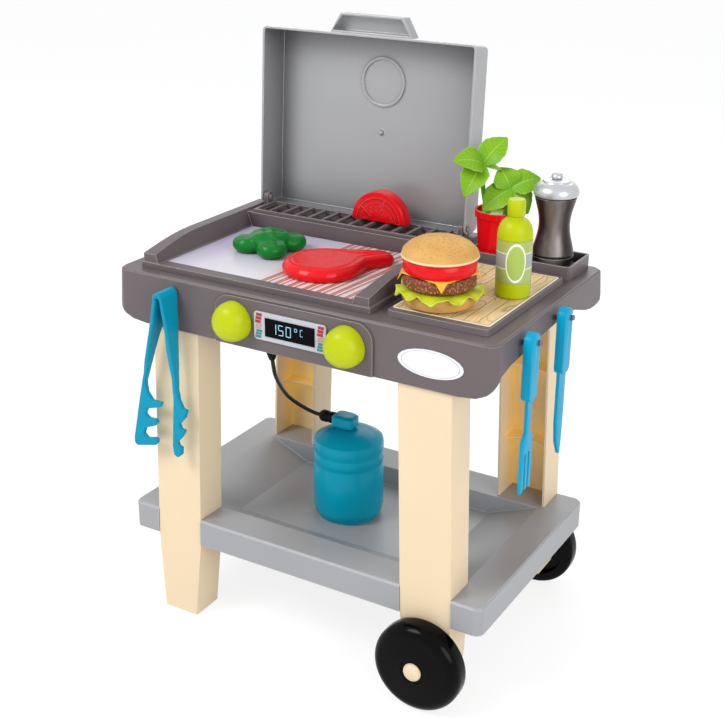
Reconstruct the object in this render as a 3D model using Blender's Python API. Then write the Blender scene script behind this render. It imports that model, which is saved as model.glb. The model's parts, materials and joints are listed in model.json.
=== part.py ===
"""Toy barbecue grill: a moulded worktop on four channel legs with a shelf and two wheels.

The lid stands open, and the play food, the utensils and the gas bottle are in their places.
Lengths are in metres and +Z is up. Local x = 0 is the middle of the worktop, local y = 0 is its
front face and local z = 0 is the floor. The empty "stand" then centres the object on the origin.
"""

import math

import bmesh
import bpy
from mathutils import Matrix, Vector

# Clearances and overruns
FIT_GAP = 0.0003
RUN_GAP = 0.0004
OVERRUN = 0.006

# Worktop: one moulding, open below
WORKTOP_WIDTH = 0.488
WORKTOP_DEPTH = 0.300
WORKTOP_HEIGHT = 0.4475
WORKTOP_WALL = 0.003
WORKTOP_CORNER = 0.012
WORKTOP_EDGE = 0.002
APRON_FRONT = 0.0625
APRON_FLARE = 0.004
APRON_FRONT_RUN = 0.039
APRON_FRONT_RISE = 0.027
APRON_BACK_RUN = 0.030
APRON_BACK_RISE = 0.006
APRON_SIDE_SHARES = ((0.04, 0.56), (0.12, 0.49), (0.22, 0.456), (0.38, 0.39), (0.55, 0.35), (0.655, 0.356),
                     (0.70, 0.39), (0.75, 0.47), (0.805, 0.552), (0.855, 0.597), (0.90, 0.612), (0.935, 0.60),
                     (0.961, 0.565))

# Control panel, display and badge on the front apron
PANEL_LEFT = -0.1015
PANEL_RIGHT = 0.1037
PANEL_HEIGHT = 0.0585
PANEL_THICK = 0.0025
PANEL_CORNER = 0.020
DISPLAY_LEFT = -0.046
DISPLAY_WIDTH = 0.0935
DISPLAY_RISE = 0.015
DISPLAY_HEIGHT = 0.033
DISPLAY_THICK = 0.002
DISPLAY_CORNER = 0.0035
SCREEN_LEFT_MARGIN = 0.015
SCREEN_WIDTH = 0.0645
SCREEN_HEIGHT = 0.0215
SCREEN_THICK = 0.0006
BADGE_X = 0.1715
BADGE_DROP = 0.033
BADGE_WIDTH = 0.077
BADGE_HEIGHT = 0.031
BADGE_THICK = 0.0006

# Knobs
KNOB_X = (-0.074, 0.0723)
KNOB_RISE = 0.030
KNOB_RADIUS = 0.023
KNOB_DEPTH = 0.023
KNOB_LOBE_SHARE = 0.017
KNOB_DOME_SHARES = ((1.0, 0.0), (1.0, 0.30), (0.96, 0.50), (0.87, 0.70), (0.72, 0.86), (0.50, 0.96), (0.22, 1.0))
KNOB_STEM_RADIUS = 0.005
KNOB_STEM_END = 0.010
KNOB_SNAP_RADIUS = 0.0075

# Firebox frame on the left of the worktop
FIREBOX_LEFT = -0.218
FIREBOX_RIGHT = 0.087
FIREBOX_FRONT = 0.018
FIREBOX_BACK = 0.292
FIREBOX_STEP = 0.007
FIREBOX_STEP_LEDGE = 0.002
FIREBOX_WALL_HEIGHT = 0.028
FIREBOX_WALL_TOP = 0.013
FIREBOX_WALL_SLOPE = 0.008
FIREBOX_FLOOR = 0.002
FIREBOX_FRONT_HEIGHT = 0.017
FIREBOX_BACK_HEIGHT = 0.0193
FIREBOX_CREST_Y = 0.108
FIREBOX_CREST_END = 0.255
FIREBOX_DIP_Y = 0.260
PLATE_FRONT = 0.032
PLATE_BACK = 0.207
PLATE_THICK = 0.0034
RACK_FRONT = 0.210
RACK_BACK = 0.258
RACK_SEAT = 0.0243
RACK_THICK = 0.0038
RACK_SIDE_GAP = 0.0075
RACK_RAIL = 0.0035
RACK_BAR = 0.0035
RACK_BARS = 14
TROUGH_RIM = 0.004

# Lid, open at rest
LID_LEFT = -0.2075
LID_RIGHT = 0.0885
LID_AXIS_Y = 0.250
LID_AXIS_RISE = 0.0355
LID_LEAN = math.radians(3.1)
LID_TURN = math.radians(93.1)
LID_LENGTH = 0.217
LID_FRONT = 0.007
LID_DEPTH = 0.042
LID_DRAFT = 0.004
LID_WALL = 0.0025
LID_HEEL = 0.014
LID_HEEL_FRONT = 0.012
LID_CORNER = 0.006
LID_RING_X = -0.0535
LID_RING_UP = 0.158
LID_RING_RADIUS = 0.0305
LID_RING_WIDTH = 0.003
LID_RING_PROUD = 0.0018
LID_NUB_UP = 0.096
LID_NUB_RADIUS = 0.0042
LID_NUB_PROUD = 0.0035
HANDLE_LEFT = -0.108
HANDLE_RIGHT = 0.005
HANDLE_HEIGHT = 0.0232
HANDLE_SLANT = 0.0135
HANDLE_DEPTH = 0.016
HANDLE_WALL = 0.0025
EAR_THICK = 0.006
EAR_RADIUS = 0.0065
PIN_RADIUS = 0.0025
PIN_HEAD_RADIUS = 0.004
PIN_HEAD = 0.0015

# Chopping board and caddy on the right of the worktop
BOARD_LEFT = 0.104
BOARD_RIGHT = 0.225
BOARD_FRONT = 0.022
BOARD_BACK = 0.226
BOARD_HEIGHT = 0.0065
BOARD_CORNER = 0.006
BOARD_DRAFT = 0.0015
WOOD_SIDE = 0.0035
WOOD_FRONT = 0.010
WOOD_BACK = 0.009
WOOD_THICK = 0.0006
CADDY_LEFT = 0.096
CADDY_RIGHT = 0.228
CADDY_FRONT = 0.2305
CADDY_BACK = 0.294
CADDY_HEIGHT = 0.016
CADDY_WALL = 0.003
CADDY_FLOOR = 0.0025
CADDY_CORNER = 0.004
CADDY_SPLIT = 0.161

# Legs: channels open towards the middle of the stand
LEG_X = 0.162
LEG_SPLAY = 0.013
LEG_WIDTH = 0.064
LEG_FOOT_WIDTH = 0.048
LEG_DEPTH = 0.043
LEG_WALL = 0.003
LEG_INSET = 0.0035
REAR_SHIFT = 0.004
LEG_LIFT = 0.042
LEG_RIB = 0.002
LEG_RIB_RISES = (0.213, 0.312)
LEG_RIB_DEPTH = 0.030
LEG_RIB_ARC = 0.013

# Shelf
SHELF_WIDTH = 0.482
SHELF_MARGIN = 0.002
SHELF_BOTTOM = 0.105
SHELF_BAND = 0.034
SHELF_CORNER = 0.010
SHELF_SKIN = 0.003
SHELF_SIDE_RIM = 0.040
SHELF_FRONT_RIM = 0.043
SHELF_BACK_RIM = 0.050
SHELF_SINK = 0.022
SHELF_SIDE_SLOPE = 0.063
SHELF_FRONT_SLOPE = 0.040
SHELF_BACK_SLOPE = 0.007

# Wheels and their pins
WHEEL_X = 0.1735
WHEEL_RADIUS = 0.054
WHEEL_WIDTH = 0.028
WHEEL_GAP = 0.0015
WHEEL_BOSS_RADIUS = 0.017
WHEEL_DISH_RADIUS = 0.039
WHEEL_DISH = 0.005
WHEEL_WEB = 0.004
WHEEL_RIM = 0.004
AXLE_RADIUS = 0.005
AXLE_HEAD_RADIUS = 0.0108
AXLE_HEAD = 0.004
AXLE_END = 0.012

# Utensils and the pegs that they hang from
PEG_TILT = math.radians(12)
TONGS_X = -0.1645
TONGS_TOP_DROP = 0.0075
TONGS_LENGTH = 0.213
TONGS_SPREAD = 0.085
TONGS_BOW_DEPTH = 0.032
TONGS_TIP_DEPTH = 0.006
TONGS_STAND_OFF = 0.002
TONGS_PEG_RADIUS = 0.0022
FORK_Y = 0.062
KNIFE_Y = 0.151
SIDE_PEG_RADIUS = 0.003
SIDE_PEG_DROP = 0.0178
SIDE_PEG_REACH = 0.0195
HANDLE_TOP_DROP = 0.001
UTENSIL_HANDLE_LENGTH = 0.076
UTENSIL_HANDLE_WIDTH = 0.021
UTENSIL_HANDLE_THICK = 0.010
UTENSIL_BLADE_THICK = 0.0036
UTENSIL_STAND_OFF = 0.0035
UTENSIL_NOTCH = 0.0065
FORK_LENGTH = 0.183
FORK_TINE_WIDTH = 0.026
KNIFE_LENGTH = 0.178

# Gas bottle, connector and hose socket
BOTTLE_X = -0.018
BOTTLE_Y = 0.153
BOTTLE_RADIUS = 0.044
BOTTLE_HEIGHT = 0.106
BOTTLE_DOME = 0.010
VALVE_X = -0.0235
VALVE_WIDTH = 0.030
VALVE_DEPTH = 0.024
VALVE_HEIGHT = 0.017
CONNECTOR_LENGTH = 0.020
CONNECTOR_RADIUS = 0.0075
CONNECTOR_RISE = 0.0082
HOSE_RADIUS = 0.0024
HOSE_BEVEL_RESOLUTION = 2
SOCKET_X = -0.040
SOCKET_Y = 0.020
SOCKET_WIDTH = 0.017
SOCKET_HEIGHT = 0.015
SOCKET_BELOW = 0.008
HOSE_ROUTE = (
    (-0.0400, 0.0200, 0.3767),
    (-0.0400, 0.0203, 0.3680),
    (-0.0418, 0.0250, 0.3560),
    (-0.0480, 0.0365, 0.3420),
    (-0.0590, 0.0560, 0.3265),
    (-0.0720, 0.0800, 0.3085),
    (-0.0845, 0.1060, 0.2880),
    (-0.0915, 0.1270, 0.2700),
    (-0.0910, 0.1400, 0.2580),
    (-0.0850, 0.1480, 0.2495),
    (-0.0765, 0.1520, 0.2442),
)

# Burger on the board
BURGER_X = 0.145
BURGER_Y = 0.067
BUN_RADIUS = 0.040
BUN_BOTTOM_HEIGHT = 0.018
LETTUCE_RADIUS = 0.0485
LETTUCE_THICK = 0.002
LETTUCE_WAVE = 0.003
LETTUCE_WAVES = 11
PATTY_RADIUS = 0.0395
PATTY_HEIGHT = 0.0145
CHEESE_SIDE = 0.066
CHEESE_THICK = 0.0016
CHEESE_TURN = -15
CHEESE_DROOP = 0.0095
CHEESE_FOLD_GAP = 0.0012
TOMATO_RADIUS = 0.0395
TOMATO_HEIGHT = 0.0155
TOP_BUN_RADIUS = 0.042
TOP_BUN_HEIGHT = 0.0224

# Food in the firebox
CHOP_X = -0.021
CHOP_Y = 0.098
CHOP_RADIUS = 0.047
CHOP_THICK = 0.0155
CHOP_HANDLE_X = 0.026
CHOP_HANDLE_Y = 0.157
CHOP_HANDLE_RADIUS = 0.0125
VEGETABLE_X = -0.118
VEGETABLE_Y = 0.132
VEGETABLE_RADIUS = 0.027
VEGETABLE_HEIGHT = 0.033
VEGETABLE_LOBE_REACH = 0.026
VEGETABLE_LOBE_RADIUS = 0.019
VEGETABLE_LOBE_HEIGHT = 0.021
SLICE_X = -0.0285
SLICE_Y = 0.246
SLICE_RADIUS = 0.0385
SLICE_THICK = 0.018
SLICE_EDGE = 0.004

# Sauce bottle, plant and pepper mill
SAUCE_X = 0.200
SAUCE_Y = 0.135
SAUCE_RADIUS = 0.0195
SAUCE_HEIGHT = 0.1075
SAUCE_SHOULDER = 0.067
SAUCE_NECK_RADIUS = 0.0085
SAUCE_CAP_RADIUS = 0.0098
SAUCE_CAP_HEIGHT = 0.018
LABEL_RISE = 0.0175
LABEL_HEIGHT = 0.0475
LABEL_THICK = 0.0005
POT_X = 0.122
POT_Y = 0.261
POT_FOOT_RADIUS = 0.0215
POT_RADIUS = 0.0275
POT_HEIGHT = 0.060
POT_WALL = 0.002
SOIL_DEPTH = 0.006
STEM_RADIUS = 0.0035
LEAF_LENGTH = 0.042
LEAF_WIDTH = 0.029
LEAF_THICK = 0.002
LEAF_BOW = 0.006
LEAF_FOLD_SHARE = 0.10
LEAF_FACING = (0.30, -0.72, 0.62)
LEAF_SHARES = ((0.0, 0.16, 0.0), (0.12, 0.50, 0.3), (0.32, 0.96, 0.8), (0.52, 0.98, 1.0), (0.76, 0.66, 0.8),
               (0.92, 0.32, 0.3), (1.0, 0.08, 0.0))
SPRIG_FEET = (-0.012, 0.008)
SPRIG_TOPS = ((-0.0155, -0.015, 0.061), (0.0165, -0.005, 0.034))
SPRIG_LEAF_SHARES = (
    ((-0.33, -0.86, 0.24), (0.43, 0.56, 0.71), (-0.10, -0.75, -0.70), (0.10, 0.62, -0.10)),
    ((-0.36, 0.03, 0.56), (0.66, 0.50, 0.31), (-0.55, -0.56, -0.53), (0.55, 0.05, -0.62)),
)
MILL_X = 0.1935
MILL_Y = 0.2615
MILL_FOOT_RADIUS = 0.0245
MILL_WAIST_RADIUS = 0.018
MILL_HEIGHT = 0.086
MILL_CAP_RADIUS = 0.0265
MILL_CAP_HEIGHT = 0.020
MILL_NUB_RADIUS = 0.007
MILL_NUB_HEIGHT = 0.007

SIDES = 40

COLOURS = {
    "anthracite": ((0.085, 0.071, 0.071), 0.42, 0.0),
    "lid_grey": ((0.105, 0.107, 0.112), 0.40, 0.35),
    "shelf_grey": ((0.26, 0.27, 0.28), 0.45, 0.0),
    "cream": ((0.86, 0.70, 0.47), 0.45, 0.0),
    "lime": ((0.61, 0.74, 0.01), 0.32, 0.0),
    "cyan": ((0.0, 0.35, 0.58), 0.35, 0.0),
    "teal": ((0.0, 0.30, 0.45), 0.35, 0.0),
    "black": ((0.012, 0.012, 0.013), 0.35, 0.0),
    "red": ((0.72, 0.01, 0.015), 0.25, 0.0),
    "green": ((0.0, 0.27, 0.03), 0.32, 0.0),
    "leaf": ((0.25, 0.52, 0.03), 0.40, 0.0),
    "wood": ((0.83, 0.64, 0.38), 0.50, 0.0),
    "bun": ((0.76, 0.47, 0.18), 0.55, 0.0),
    "brown": ((0.22, 0.09, 0.04), 0.60, 0.0),
    "yellow": ((0.85, 0.47, 0.02), 0.35, 0.0),
    "lettuce": ((0.60, 0.70, 0.04), 0.40, 0.0),
    "white": ((0.80, 0.80, 0.82), 0.35, 0.0),
    "print": ((0.72, 0.68, 0.76), 0.35, 0.0),
    "silver": ((0.50, 0.51, 0.52), 0.35, 0.4),
}

floor_top = WORKTOP_HEIGHT + FIT_GAP
lid_axis_z = WORKTOP_HEIGHT + LID_AXIS_RISE
shelf_top = SHELF_BOTTOM + SHELF_BAND
pan_floor = shelf_top - SHELF_SINK
leg_top = WORKTOP_HEIGHT - WORKTOP_WALL - FIT_GAP
apron_bottom = WORKTOP_HEIGHT - APRON_FRONT
side_peg_z = WORKTOP_HEIGHT - SIDE_PEG_DROP


def clear_scene():
    for obj in list(bpy.data.objects):
        bpy.data.objects.remove(obj, do_unlink=True)


def material(name):
    found = bpy.data.materials.get(name)
    if found:
        return found
    colour, roughness, metallic = COLOURS[name]
    made = bpy.data.materials.new(name)
    made.use_nodes = True
    shader = made.node_tree.nodes["Principled BSDF"]
    shader.inputs["Base Color"].default_value = (*colour, 1.0)
    shader.inputs["Roughness"].default_value = roughness
    shader.inputs["Metallic"].default_value = metallic
    made.diffuse_color = (*colour, 1.0)
    return made


def add_empty(name, location, parent=None, turn_x=0.0):
    empty = bpy.data.objects.new(name, None)
    bpy.context.scene.collection.objects.link(empty)
    empty.location = location
    empty.rotation_euler.x = turn_x
    empty.parent = parent
    return empty


def add_object(name, mesh, parent, colour=None, origin=(0.0, 0.0, 0.0), smooth=35):
    """Links a mesh given in the parent's frame and puts its object's origin at the given point."""
    mesh.transform(Matrix.Translation(-Vector(origin)))
    obj = bpy.data.objects.new(name, mesh)
    bpy.context.scene.collection.objects.link(obj)
    obj.location = origin
    obj.parent = parent
    if colour:
        mesh.materials.append(material(colour))
        mesh.shade_smooth()
        mesh.set_sharp_from_angle(angle=math.radians(smooth))
    else:
        obj.hide_render = True
        obj.display_type = "WIRE"
    return obj


def mesh_of(shape, name):
    bmesh.ops.recalc_face_normals(shape, faces=shape.faces)
    mesh = bpy.data.meshes.new(name)
    shape.to_mesh(mesh)
    shape.free()
    return mesh


def skin(name, rings, closed=False):
    """A solid through rings of equal count, capped at both ends or joined from the last to the first."""
    shape = bmesh.new()
    rows = [[shape.verts.new(point) for point in ring] for ring in rings]
    pairs = list(zip(rows, rows[1:]))
    if closed:
        pairs.append((rows[-1], rows[0]))
    else:
        shape.faces.new(rows[0])
        shape.faces.new(rows[-1])
    for row, other in pairs:
        for i in range(len(row)):
            j = (i + 1) % len(row)
            shape.faces.new((row[i], row[j], other[j], other[i]))
    return mesh_of(shape, name)


def prism(name, outline, axis, start, end):
    """An outline in the other two axes, in x y z order, extruded along one axis."""
    def lift(a, b):
        return {"X": (start, a, b), "Y": (a, start, b), "Z": (a, b, start)}[axis]

    shape = bmesh.new()
    face = shape.faces.new([shape.verts.new(lift(a, b)) for a, b in outline])
    grown = bmesh.ops.extrude_face_region(shape, geom=[face])
    moved = [item for item in grown["geom"] if isinstance(item, bmesh.types.BMVert)]
    step = {"X": (1, 0, 0), "Y": (0, 1, 0), "Z": (0, 0, 1)}[axis]
    bmesh.ops.translate(shape, verts=moved, vec=Vector(step) * (end - start))
    return mesh_of(shape, name)


def box(name, low, high):
    return prism(name, rectangle(low[0], low[1], high[0], high[1]), "Z", low[2], high[2])


def rectangle(left, low, right, high):
    return [(left, low), (right, low), (right, high), (left, high)]


def arc(centre, radius, start, end, steps):
    """Points on an arc, from the start to the end angle in degrees."""
    angles = [math.radians(start + (end - start) * i / steps) for i in range(steps + 1)]
    return [(centre[0] + radius * math.cos(a), centre[1] + radius * math.sin(a)) for a in angles]


def rounded(left, low, right, high, radius, steps=4):
    """A rectangle with rounded corners, counter-clockwise from its lower right corner."""
    corners = ((right - radius, low + radius, -90), (right - radius, high - radius, 0),
               (left + radius, high - radius, 90), (left + radius, low + radius, 180))
    points = []
    for x, y, start in corners:
        points += arc((x, y), radius, start, start + 90, steps)
    return points


def level(outline, z):
    return [(x, y, z) for x, y in outline]


def circle(radius, height, centre, axis="Z", sides=SIDES, lobes=0, lobe_share=0.0, turn=0.0):
    """A ring about an axis through the centre, at a height along it, with optional lobes."""
    ring = []
    for i in range(sides):
        angle = 2 * math.pi * i / sides
        reach = radius * (1 + lobe_share * math.cos(lobes * (angle - turn)))
        a, b = reach * math.cos(angle), reach * math.sin(angle)
        offset = {"X": (height, a, b), "Y": (a, height, b), "Z": (a, b, height)}[axis]
        ring.append(tuple(c + o for c, o in zip(centre, offset)))
    return ring


def turned(name, profile, centre, axis="Z", closed=False, sides=SIDES, **lobed):
    """A turned solid from (radius, height) pairs along the axis."""
    return skin(name, [circle(r, h, centre, axis, sides, **lobed) for r, h in profile], closed)


def bore(name, radius, centre, axis, start, end, sides=24):
    return turned(name, ((radius, start), (radius, end)), centre, axis, sides=sides)


def combine(target, mesh, operation, parent):
    """A Boolean on the target with a hidden helper object."""
    helper = add_object(mesh.name, mesh, parent)
    modifier = target.modifiers.new(mesh.name, "BOOLEAN")
    modifier.operation = operation
    modifier.solver = "EXACT"
    modifier.object = helper
    return helper


def cut(target, mesh, parent):
    return combine(target, mesh, "DIFFERENCE", parent)


def join(target, mesh, parent):
    return combine(target, mesh, "UNION", parent)


def mirrored(mesh, middle):
    """The same mesh at the back of the stand, whose legs stand a little further right."""
    mesh.transform(Matrix.Translation((REAR_SHIFT, 2 * middle, 0)) @ Matrix.Scale(-1, 4, (0, 1, 0)))
    mesh.flip_normals()
    return mesh


def tilted(mesh, centre, axis, angle):
    """The mesh turned about an axis through a point."""
    about = Matrix.Translation(centre)
    mesh.transform(about @ Matrix.Rotation(angle, 4, axis) @ about.inverted())
    return mesh


def at_share(low, high, share):
    return low + (high - low) * share


def worktop_drop(x, y):
    """How far the apron's lower edge lies below the top, at a point of the plan outline."""
    half = WORKTOP_WIDTH / 2
    table = [(d * WORKTOP_DEPTH, s * APRON_FRONT) for d, s in APRON_SIDE_SHARES]
    if y <= table[0][0]:
        reach = min(1.0, max(0.0, (abs(x) - half + APRON_FRONT_RUN) / APRON_FRONT_RUN))
        return APRON_FRONT - APRON_FRONT_RISE * (1 - math.sqrt(1 - reach * reach))
    if y >= table[-1][0]:
        reach = min(1.0, max(0.0, (abs(x) - half + APRON_BACK_RUN) / APRON_BACK_RUN))
        return table[-1][1] - APRON_BACK_RISE * (1 - math.sqrt(1 - reach * reach))
    for (y0, d0), (y1, d1) in zip(table, table[1:]):
        if y <= y1:
            return at_share(d0, d1, (y - y0) / (y1 - y0))
    return table[-1][1]


def apron_x(y, drop):
    """How far right the apron's outer face lies at a depth and a drop below the top."""
    edge, low = WORKTOP_EDGE, worktop_drop(0.0, y)
    return WORKTOP_WIDTH / 2 + APRON_FLARE * low / APRON_FRONT * (drop - edge) / (low - edge)


def worktop_plan():
    """The plan outline with the points that the apron's curved lower edge needs."""
    half, radius = WORKTOP_WIDTH / 2, WORKTOP_CORNER
    front = [(half - radius) * math.sin(math.radians(a)) for a in range(-72, 73, 12)]
    sides = [d * WORKTOP_DEPTH for d, _ in APRON_SIDE_SHARES]
    sides = [y for y in sides if radius < y < WORKTOP_DEPTH - radius]
    points = [(x, 0.0) for x in front]
    points += arc((half - radius, radius), radius, -90, 0, 5)
    points += [(half, y) for y in sides]
    points += arc((half - radius, WORKTOP_DEPTH - radius), radius, 0, 90, 5)
    points += [(-x, WORKTOP_DEPTH) for x in front]
    points += arc((radius - half, WORKTOP_DEPTH - radius), radius, 90, 180, 5)
    points += [(-half, y) for y in reversed(sides)]
    points += arc((radius - half, radius), radius, 180, 270, 5)
    return points


def shrunk(points, inset, width, depth):
    """Plan points drawn in by an inset on every side of a rectangle that starts at y = 0."""
    x_share = (width / 2 - inset) / (width / 2)
    y_share = (depth / 2 - inset) / (depth / 2)
    return [(x * x_share, depth / 2 + (y - depth / 2) * y_share) for x, y in points]


def build_worktop(stand):
    plan = worktop_plan()
    size = (WORKTOP_WIDTH, WORKTOP_DEPTH)
    drops = [worktop_drop(x, y) for x, y in plan]
    flares = [1 + APRON_FLARE * d / APRON_FRONT / (WORKTOP_WIDTH / 2) for d in drops]
    inner = shrunk(plan, WORKTOP_WALL, *size)
    top_edge = shrunk(plan, WORKTOP_EDGE, *size)
    rings = [
        level(top_edge, WORKTOP_HEIGHT),
        level(plan, WORKTOP_HEIGHT - WORKTOP_EDGE),
        [(x * f, y, WORKTOP_HEIGHT - d) for (x, y), d, f in zip(plan, drops, flares)],
        [(x * f, y, WORKTOP_HEIGHT - d) for (x, y), d, f in zip(inner, drops, flares)],
        level(inner, WORKTOP_HEIGHT - WORKTOP_WALL),
    ]
    worktop = add_object("worktop", skin("worktop", rings), stand, "anthracite")
    for x in KNOB_X:
        centre = (x, 0.0, apron_bottom + KNOB_RISE)
        cut(worktop, bore("knob_bore", KNOB_STEM_RADIUS + RUN_GAP, centre, "Y", -OVERRUN, OVERRUN), stand)


def build_front(stand):
    """Control panel, display, screen and the plain badge."""
    back = -FIT_GAP
    outline = [(PANEL_LEFT, apron_bottom), (PANEL_RIGHT, apron_bottom)]
    top = apron_bottom + PANEL_HEIGHT
    outline += arc((PANEL_RIGHT - PANEL_CORNER, top - PANEL_CORNER), PANEL_CORNER, 0, 90, 6)
    outline += arc((PANEL_LEFT + PANEL_CORNER, top - PANEL_CORNER), PANEL_CORNER, 90, 180, 6)
    panel = add_object("control_panel", prism("control_panel", outline, "Y", back - PANEL_THICK, back),
                       stand, "anthracite")
    for x in KNOB_X:
        centre = (x, 0.0, apron_bottom + KNOB_RISE)
        cut(panel, bore("panel_bore", KNOB_STEM_RADIUS + RUN_GAP, centre, "Y", -OVERRUN, OVERRUN), stand)

    back -= PANEL_THICK + FIT_GAP
    low = apron_bottom + DISPLAY_RISE
    outline = rounded(DISPLAY_LEFT, low, DISPLAY_LEFT + DISPLAY_WIDTH, low + DISPLAY_HEIGHT, DISPLAY_CORNER)
    mesh = prism("display_plate", outline, "Y", back - DISPLAY_THICK, back)
    add_object("display_plate", mesh, stand, "white")

    back -= DISPLAY_THICK + FIT_GAP
    left = DISPLAY_LEFT + SCREEN_LEFT_MARGIN
    low += (DISPLAY_HEIGHT - SCREEN_HEIGHT) / 2
    outline = rectangle(left, low, left + SCREEN_WIDTH, low + SCREEN_HEIGHT)
    mesh = prism("display_screen", outline, "Y", back - SCREEN_THICK, back)
    add_object("display_screen", mesh, stand, "black")

    middle = WORKTOP_HEIGHT - BADGE_DROP
    outline = [(BADGE_X + x * BADGE_WIDTH / 2, middle + z * BADGE_HEIGHT / 2)
               for x, z in arc((0.0, 0.0), 1, 0, 345, 23)]
    mesh = prism("front_badge", outline, "Y", -FIT_GAP - BADGE_THICK, -FIT_GAP)
    add_object("front_badge", mesh, stand, "white")


def build_knobs(stand):
    """Lobed domes with a stem through the panel and the apron, and a snap flange behind."""
    seat = -FIT_GAP - PANEL_THICK - RUN_GAP
    inside = WORKTOP_WALL + RUN_GAP
    for side, x in zip(("left", "right"), KNOB_X):
        axis_point = (x, 0.0, apron_bottom + KNOB_RISE)
        name = "knob_" + side
        lobed = {"lobes": 3, "lobe_share": KNOB_LOBE_SHARE, "turn": math.radians(90)}
        rings = [circle(KNOB_RADIUS * r, seat - KNOB_DEPTH * d, axis_point, "Y", **lobed)
                 for r, d in reversed(KNOB_DOME_SHARES)]
        stem = ((KNOB_STEM_RADIUS, seat), (KNOB_STEM_RADIUS, inside), (KNOB_SNAP_RADIUS, inside),
                (KNOB_STEM_RADIUS, KNOB_STEM_END))
        rings += [circle(r, h, axis_point, "Y") for r, h in stem]
        add_object(name, skin(name, rings), stand, "lime", axis_point)


def side_wall_profile():
    """The firebox frame's side view: low in front, full height behind, low again under the lid."""
    base, full = floor_top, WORKTOP_HEIGHT + FIREBOX_WALL_HEIGHT
    front_top = WORKTOP_HEIGHT + FIREBOX_FRONT_HEIGHT
    run = FIREBOX_CREST_Y - FIREBOX_FRONT
    rise = full - front_top
    crest = [(FIREBOX_FRONT + run * i / 5, front_top + rise * math.sin(math.radians(18 * i))) for i in range(6)]
    back_top = WORKTOP_HEIGHT + FIREBOX_BACK_HEIGHT
    tail = [(FIREBOX_CREST_END, full), (FIREBOX_DIP_Y, back_top), (FIREBOX_BACK, back_top), (FIREBOX_BACK, base)]
    return [(FIREBOX_FRONT, base)] + crest + tail


def build_firebox(stand):
    base, full = floor_top, WORKTOP_HEIGHT + FIREBOX_WALL_HEIGHT
    step_top = WORKTOP_HEIGHT + FIREBOX_STEP
    left, right = FIREBOX_LEFT, FIREBOX_RIGHT
    frame = add_object("firebox_frame", prism("firebox_frame", side_wall_profile(), "X", left, right),
                       stand, "anthracite")
    ledge = FIREBOX_STEP_LEDGE
    outline = rectangle(left - ledge, FIREBOX_FRONT - ledge, right + ledge, FIREBOX_BACK + ledge)
    join(frame, prism("firebox_step", outline, "Z", base, step_top), stand)

    inner_left, inner_right = left + FIREBOX_WALL_TOP, right - FIREBOX_WALL_TOP
    slope = FIREBOX_WALL_SLOPE / (full - step_top)
    above = full + OVERRUN
    front, back = FIREBOX_FRONT - ledge - OVERRUN, FIREBOX_BACK + ledge + OVERRUN
    seat = WORKTOP_HEIGHT + RACK_SEAT
    outline = [(front, step_top), (PLATE_BACK, step_top), (PLATE_BACK, seat), (back, seat), (back, above),
               (front, above)]
    hollow = prism("hollow", outline, "X", inner_left, inner_right)
    for vertex in hollow.vertices:
        drop = slope * (full - vertex.co.z)
        vertex.co.x += drop if vertex.co.x < 0 else -drop
    cut(frame, hollow, stand)

    plate_left = inner_left + FIREBOX_WALL_SLOPE + FIREBOX_STEP_LEDGE / 4
    plate_right = inner_right - FIREBOX_WALL_SLOPE - FIREBOX_STEP_LEDGE / 4
    floor = base + FIREBOX_FLOOR
    cut(frame, box("plate_pocket", (plate_left, PLATE_FRONT, floor), (plate_right, PLATE_BACK, above)), stand)
    rim = TROUGH_RIM
    cut(frame, box("trough", (plate_left + rim, RACK_FRONT + rim, floor),
                   (plate_right - rim, FIREBOX_CREST_END, above)), stand)

    ear_bottom = WORKTOP_HEIGHT + FIREBOX_STEP
    for side, start in zip(("left", "right"), ear_starts()):
        outline = [(LID_AXIS_Y - EAR_RADIUS, ear_bottom), (LID_AXIS_Y + EAR_RADIUS, ear_bottom)]
        outline += arc((LID_AXIS_Y, lid_axis_z), EAR_RADIUS, 0, 180, 8)
        join(frame, prism("ear_" + side, outline, "X", start, start + EAR_THICK), stand)
        centre = (start, LID_AXIS_Y, lid_axis_z)
        cut(frame, bore("ear_bore_" + side, PIN_RADIUS + RUN_GAP, centre, "X", -OVERRUN,
                        EAR_THICK + OVERRUN, 16), stand)

    gap = FIT_GAP
    outline = rectangle(plate_left + gap, PLATE_FRONT + gap, plate_right - gap, PLATE_BACK - gap)
    mesh = prism("cooking_plate", outline, "Z", floor + gap, floor + gap + PLATE_THICK)
    add_object("cooking_plate", mesh, stand, "print")
    build_rack(stand, inner_left + slope * (full - WORKTOP_HEIGHT - RACK_SEAT),
               inner_right - slope * (full - WORKTOP_HEIGHT - RACK_SEAT))


def build_rack(stand, left, right):
    """A ladder of bars between two rails, cut from one plate."""
    left += RACK_SIDE_GAP
    right -= RACK_SIDE_GAP
    low = WORKTOP_HEIGHT + RACK_SEAT + FIT_GAP
    outline = rectangle(left, RACK_FRONT, right, RACK_BACK)
    rack = add_object("grill_rack", prism("grill_rack", outline, "Z", low, low + RACK_THICK), stand, "anthracite")
    pitch = (right - left - RACK_BAR) / (RACK_BARS - 1)
    slots = bmesh.new()
    for i in range(RACK_BARS - 1):
        start = left + pitch * i + RACK_BAR
        corners = rectangle(start, RACK_FRONT + RACK_RAIL, start + pitch - RACK_BAR, RACK_BACK - RACK_RAIL)
        face = slots.faces.new([slots.verts.new((x, y, low - OVERRUN)) for x, y in corners])
        grown = bmesh.ops.extrude_face_region(slots, geom=[face])
        moved = [item for item in grown["geom"] if isinstance(item, bmesh.types.BMVert)]
        bmesh.ops.translate(slots, verts=moved, vec=(0, 0, RACK_THICK + 2 * OVERRUN))
    cut(rack, mesh_of(slots, "rack_slots"), stand)


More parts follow.
